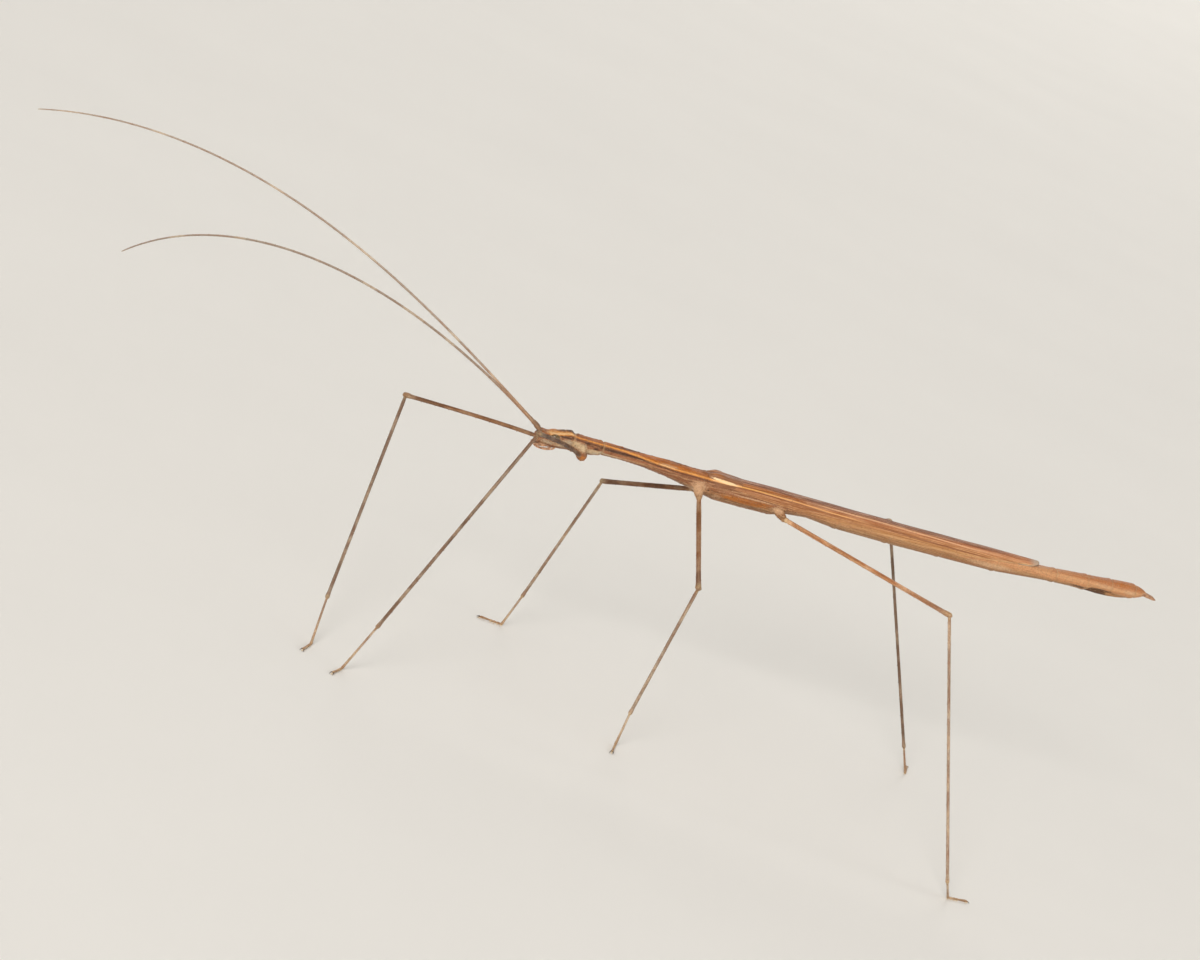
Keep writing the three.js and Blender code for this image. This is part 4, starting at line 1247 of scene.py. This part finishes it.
def limb(shape, start, end, table, marks, tones, seed, after, bow=0.0, lobed=False, hairs=0, dusk=0.0):
    """A femur, tibia or foot joint: keeled, with a soft colour change at its marks."""
    length = np.linalg.norm(end - start)
    along = np.linspace(0, length + after, max(4, int((length + after) / RING_SPACING)))
    path = start + along[:, None] * (end - start) / length
    path[:, 2] += bow * np.sin(np.pi * np.clip(along / length, 0, 1) ** 0.75)
    around = circle(LIMB_SIDES)
    radii = keeled(0.96 * eased(table, along, 0.2)[0], around, KEELS, 0.04 if length < 8 else 0.10)
    if lobed:
        flank = 0.16 * hump(off_top(around) - 1.75, 0.5)
        gap = 0.35 * hump(off_top(around) - np.pi, 0.55)
        radii = radii * (1 + hump(along - length, 0.35)[:, None] * (flank - gap))
    grid, side, height = wrap(path, radii, LIMB_SIDES)
    joint = np.clip(sum((hump(along - place, wide) for place, wide in marks), 0 * along), 0, 1)
    # The painted shade thins out towards the knee, and on a femur towards the hip.
    at_hip = 0.8 * (tones[0] < 0.1) * hump(along, 1.0)
    lines = {
        "tone": tones[0] + (tones[1] - tones[0]) * np.clip(along / length, 0, 1),
        "joint": joint,
        "seed": seed + 0 * along,
        "dusk": dusk * (1 - 0.4 * hump(along - length, 1.2) - at_hip),
    }
    notes = {name: values[:, None] + 0 * side for name, values in lines.items()}
    notes["lie"] = lie_of(along[:, None], side, height)
    shape.add_grid(grid, **notes)
    if hairs:
        leg_coat.cover(grid, hairs, length=0.13, lean=1.0, part=slice(2, -4), **notes)
    return grid, notes


def spines(shape, grid, notes, spacing, rise):
    """A row of small teeth along the two lower keels."""
    rings, sides = grid.shape[:2]
    keel = int(sides * KEELS[-2] / TURN)
    for column in (keel, sides - keel):
        for ring in range(6, rings - 6, spacing):
            root = grid[ring, column]
            out = unit(root - grid[ring].mean(0))
            forward = unit(grid[ring + 1, column] - grid[ring - 1, column])
            bend = root + 0.3 * rise * out + 0.1 * rise * forward
            path = np.array([root - 0.03 * out, bend, root + rise * (out + 0.6 * forward)])
            cone, _, _ = wrap(path, np.array([0.045, 0.03, 0.005]), 6)
            held = {k: np.broadcast_to(v[ring, column], (3, 6) + np.shape(v)[2:]) for k, v in notes.items()}
            shape.add_grid(cone, **held)


def make_leg(pair, side_name, number):
    start, knee, ankle, heel, toe = leg_joints(pair, side_name)
    if pair == "fore":
        # It springs from the front of its coxa, a little above and inside the tip.
        start = start + spot(39.68, -0.22 * SIDES[side_name], 0.34) - spot(40, 0, 0)
    sizes, label = LEG_SIZES[pair], f"{pair}_{side_name}"
    thigh, shank = sizes["radii"]
    # How much painted shade darkens this femur and this tibia.
    thigh_painted_shade, shank_painted_shade = LEG_POSES[label]["dusk"]
    seed = 3.7 * number + 1

    def section(kind, start, end, table, marks, spacing, teeth, **looks):
        piece, hairs = Shape(), int(20 * sizes[kind])
        grid, notes = limb(piece, start, end, table, marks, hairs=hairs, **looks)
        spines(piece, grid, notes, spacing, teeth)
        piece.build(f"{kind}_{label}_looks", [LEG_FINISH], "leg", f"{kind}_{label}")

    long = sizes["femur"]
    slim = 0.86 if pair == "fore" else 1.0
    table = [(-0.1, 0.12), (0.1, 0.29), (0.42, 0.32), (0.58, 0.24), (0.85, 0.27), (2.6, slim * thigh)]
    table += [(0.3 * long, thigh), (0.8 * long, 0.95 * thigh), (long - 0.9, 1.05 * thigh)]
    table += [(long - 0.4, 0.34), (long + 0.05, 0.35), (long + 0.22, 0.27), (long + 0.34, 0.08)]
    marks = [(0.2, 0.35), (0.58, 0.08), (long - 0.1, 0.55)]
    looks = {"tones": (0.0, 0.38), "seed": seed, "bow": sizes["bow"], "after": 0.34, "lobed": True}
    section("femur", start, knee, table, marks, spacing=13, teeth=0.10, dusk=thigh_painted_shade, **looks)

    long = sizes["tibia"]
    table = [(0, 0.10), (0.15, 0.21), (0.42, 0.17), (0.9, shank), (0.5 * long, 0.95 * shank)]
    table += [(long - 0.9, shank), (long - 0.25, 1.25 * shank)]
    table += [(long + 0.02, 1.25 * shank), (long + 0.14, 0.08)]
    marks = [(0.3, 0.4), (long, 0.3)]
    looks = {"tones": (0.42, 0.78), "seed": seed + 9, "after": 0.14}
    section("tibia", knee, ankle, table, marks, spacing=17, teeth=0.08, dusk=shank_painted_shade, **looks)
    make_foot(label, ankle, heel, toe, sizes["basitarsus"], seed)


def make_foot(label, ankle, heel, toe, long, seed):
    """Five foot joints with pale pads, two claws and the pad between them."""
    foot = Shape()
    table = [(0, 0.09), (0.14, 0.16), (0.35, 0.13), (0.5 * long, 0.135), (long - 0.5, 0.15)]
    table += [(long - 0.12, 0.19), (long + 0.05, 0.17), (long + 0.12, 0.06)]
    marks = [(0.1, 0.2), (long, 0.12)]
    looks = {"tones": (0.8, 0.9), "seed": seed, "after": 0.12, "hairs": int(24 * long)}
    limb(foot, ankle, heel, table, marks, **looks)
    forward = unit(toe - heel)
    sideways = np.cross(UP, forward)
    axes = [forward, sideways, UP]
    pads = [heel + 0.06 * forward]
    for first, last in zip(FOOT_CUTS[:-1], FOOT_CUTS[1:]):
        span = last - first
        table = [(0, 0.09), (0.3 * span, 0.125), (0.75 * span, 0.15)]
        table += [(span - 0.04, 0.165), (span + 0.05, 0.07)]
        begin, end = heel + first * forward, heel + last * forward
        limb(foot, begin, end, table, [(span, 0.10)], tones=(0.9, 1.0), seed=seed + first, after=0.05)
        pads.append(end - 0.14 * forward)
    for place in pads[:-1]:
        sole = ball(place * ON_FLOOR + 0.085 * UP, axes, (0.17, 0.13, 0.085), 12, 16)
        foot.add_grid(sole, 1, flip=True)
    toe_pad = ball((end + 0.13 * forward) * ON_FLOOR + 0.11 * UP, axes, (0.24, 0.12, 0.11), 14, 18)
    foot.add_grid(toe_pad, 1, flip=True)
    foot.build(f"tarsus_{label}_looks", [LEG_FINISH, PAD_FINISH], "leg", f"tarsus_{label}")

    claws = Shape()
    for turn in (-1, 1):
        marks = [
            end - 0.06 * forward + 0.04 * turn * sideways,
            end + 0.14 * forward + 0.13 * turn * sideways + 0.03 * UP,
            end + 0.36 * forward + 0.21 * turn * sideways - 0.06 * UP,
            (end + 0.46 * forward + 0.23 * turn * sideways) * ON_FLOOR + 0.02 * UP,
        ]
        path, along = curved_path(marks, 24)
        table = [(0, 0.065), (0.2, 0.055), (along[-1], 0.010)]
        jointed(claws, path, along, table, joints=[], sides=12)
    claws.build(f"claws_{label}", [CLAW_FINISH], "leg")


for number, (pair, side_name) in enumerate((p, s) for p in LEG_SIZES for s in SIDES):
    make_leg(pair, side_name, number)


# ---- Tail and hairs ----
def make_cercus(name, sign):
    cercus = Shape()
    marks = [(77.7, 0.30, 0.36), (78.6, 0.34, 0.27), (79.5, 0.32, 0.10), (80.25, 0.27, -0.06)]
    path, along = curved_path([spot(s, sign * y, h) for s, y, h in marks], 50)
    end = along[-1]
    table = [(0, 0.16), (0.5, 0.23), (1.3, 0.21), (end - 0.35, 0.17), (end - 0.1, 0.11), (end, 0.03)]
    jointed(cercus, path, along, table, joints=[], sides=16, coat=mouth_coat, hairs=60)
    # The cerci are a little darker than the mouth all over, and their hairs are not.
    cercus.notes["joint"] = [(0, np.full(cercus.count, 0.25))]
    cercus.build(f"cercus_{name}_looks", [MOUTH_FINISH], "cuticle", f"cercus_{name}")


for side_name, sign in SIDES.items():
    make_cercus(side_name, sign)

for coat, name, finish_name, markings, slot in (
    (body_coat, "hairs_body", "body hair", BODY_MARKINGS, "cuticle"),
    (leg_coat, "hairs_legs", "leg hair", LEG_MARKINGS, "leg"),
    (feeler_coat, "hairs_feelers", "feeler hair", FEELER_MARKINGS, "feeler"),
    (mouth_coat, "hairs_mouth_and_tail", "mouth hair", FEELER_MARKINGS, "cuticle"),
):
    coat.shape.build(name, [make_hair_finish(finish_name, markings)], slot)


# ---- Floor, light and camera ----
FLOOR_SIDES = 96
FLOOR_REACH = 2.4
WALL_BEND = 1.6
WALL_HEIGHT = 4.5


def make_floor_finish():
    n = Finish("pale floor")
    tint = n.mix(n.noise(n.millimetres(), 0.02, 3.0, 0.5), "e9e7e3", "eeece8")
    return n.dress(tint, 0.8, Specular_IOR_Level=0.2)


def make_floor():
    """A flat pale floor that curves up into a pale wall far away, in metres."""
    bend = np.linspace(0.1, np.pi / 2, 14)
    wall = FLOOR_REACH + WALL_BEND
    reach = [0.15, 0.4, 0.8, 1.5, FLOOR_REACH, *(FLOOR_REACH + WALL_BEND * np.sin(bend)), wall]
    rise = [0, 0, 0, 0, 0, *(WALL_BEND - WALL_BEND * np.cos(bend)), WALL_HEIGHT]
    reach, rise, around = np.array(reach)[:, None], np.array(rise)[:, None], circle(FLOOR_SIDES)
    grid = np.stack([reach * np.cos(around), reach * np.sin(around), rise + 0 * around], -1)
    points = np.concatenate([[[0, 0, 0]], grid.reshape(-1, 3)])
    here = 1 + np.arange(FLOOR_SIDES)
    beside = np.roll(here, -1)
    faces = [(0, a, b) for a, b in zip(here.tolist(), beside.tolist())]
    for ring in range(len(reach) - 1):
        out = ring * FLOOR_SIDES
        corners = [here, here + FLOOR_SIDES, beside + FLOOR_SIDES, beside]
        faces += (np.stack(corners, -1) + out).tolist()
    floor = Shape()
    floor.add(points / MM, faces)
    floor.make("studio_floor", [make_floor_finish()])


# Lamp, place, aim, size, power and tint, in metres and watts.
LAMPS = [
    ("key_light", (-1.0, -1.9, 1.1), (0, 0, 0.02), 0.7, 41.0, (1.0, 0.965, 0.925)),
    ("fill_light", (1.8, -1.1, 1.0), (0, 0, 0.02), 1.4, 10.0, (0.98, 0.99, 1.0)),
    ("back_light", (0.5, 1.8, 1.4), (0, 0, 0.03), 0.9, 10.0, (1.0, 0.98, 0.95)),
    ("wall_light", (0.0, 1.6, 2.6), (0, 4.0, 0.9), 1.6, 24.0, (1.0, 0.99, 0.97)),
]


def make_light(name, place, aim, size, power, tint):
    lamp = bpy.data.lights.new(name, "AREA")
    lamp.shape, lamp.size, lamp.energy, lamp.color = "DISK", size, power, tint
    light = linked(name, lamp)
    light.location = place
    light.rotation_mode = "QUATERNION"
    light.rotation_quaternion = (Vector(aim) - Vector(place)).to_track_quat("-Z", "Y")


def make_world():
    world = bpy.data.worlds.new("studio")
    world.use_nodes = True
    sky = world.node_tree.nodes["Background"]
    sky.inputs["Color"].default_value = (1.0, 0.99, 0.97, 1.0)
    sky.inputs["Strength"].default_value = 0.34
    bpy.context.scene.world = world
    bpy.context.scene.view_settings.view_transform = "Standard"


def make_camera():
    """From the insect's left front, a little above it, leaning over to one side, half a metre away."""
    lens = bpy.data.cameras.new("camera")
    lens.sensor_width, lens.lens = 36.0, 127.44
    lens.clip_start, lens.clip_end = 0.01, 20.0
    camera = linked("camera", lens)
    place = Matrix.Translation(Vector((2.5145, 5.7374, 26.63)) * MM)
    for angle, axis in ((-17.40, "Z"), (90 - 14.07, "X"), (24.74, "Z")):
        place = place @ Matrix.Rotation(math.radians(angle), 4, axis)
    camera.matrix_world = place @ Matrix.Translation((0, 0, 0.5))
    bpy.context.scene.camera = camera


make_floor()
for lamp in LAMPS:
    make_light(*lamp)
make_world()
make_camera()
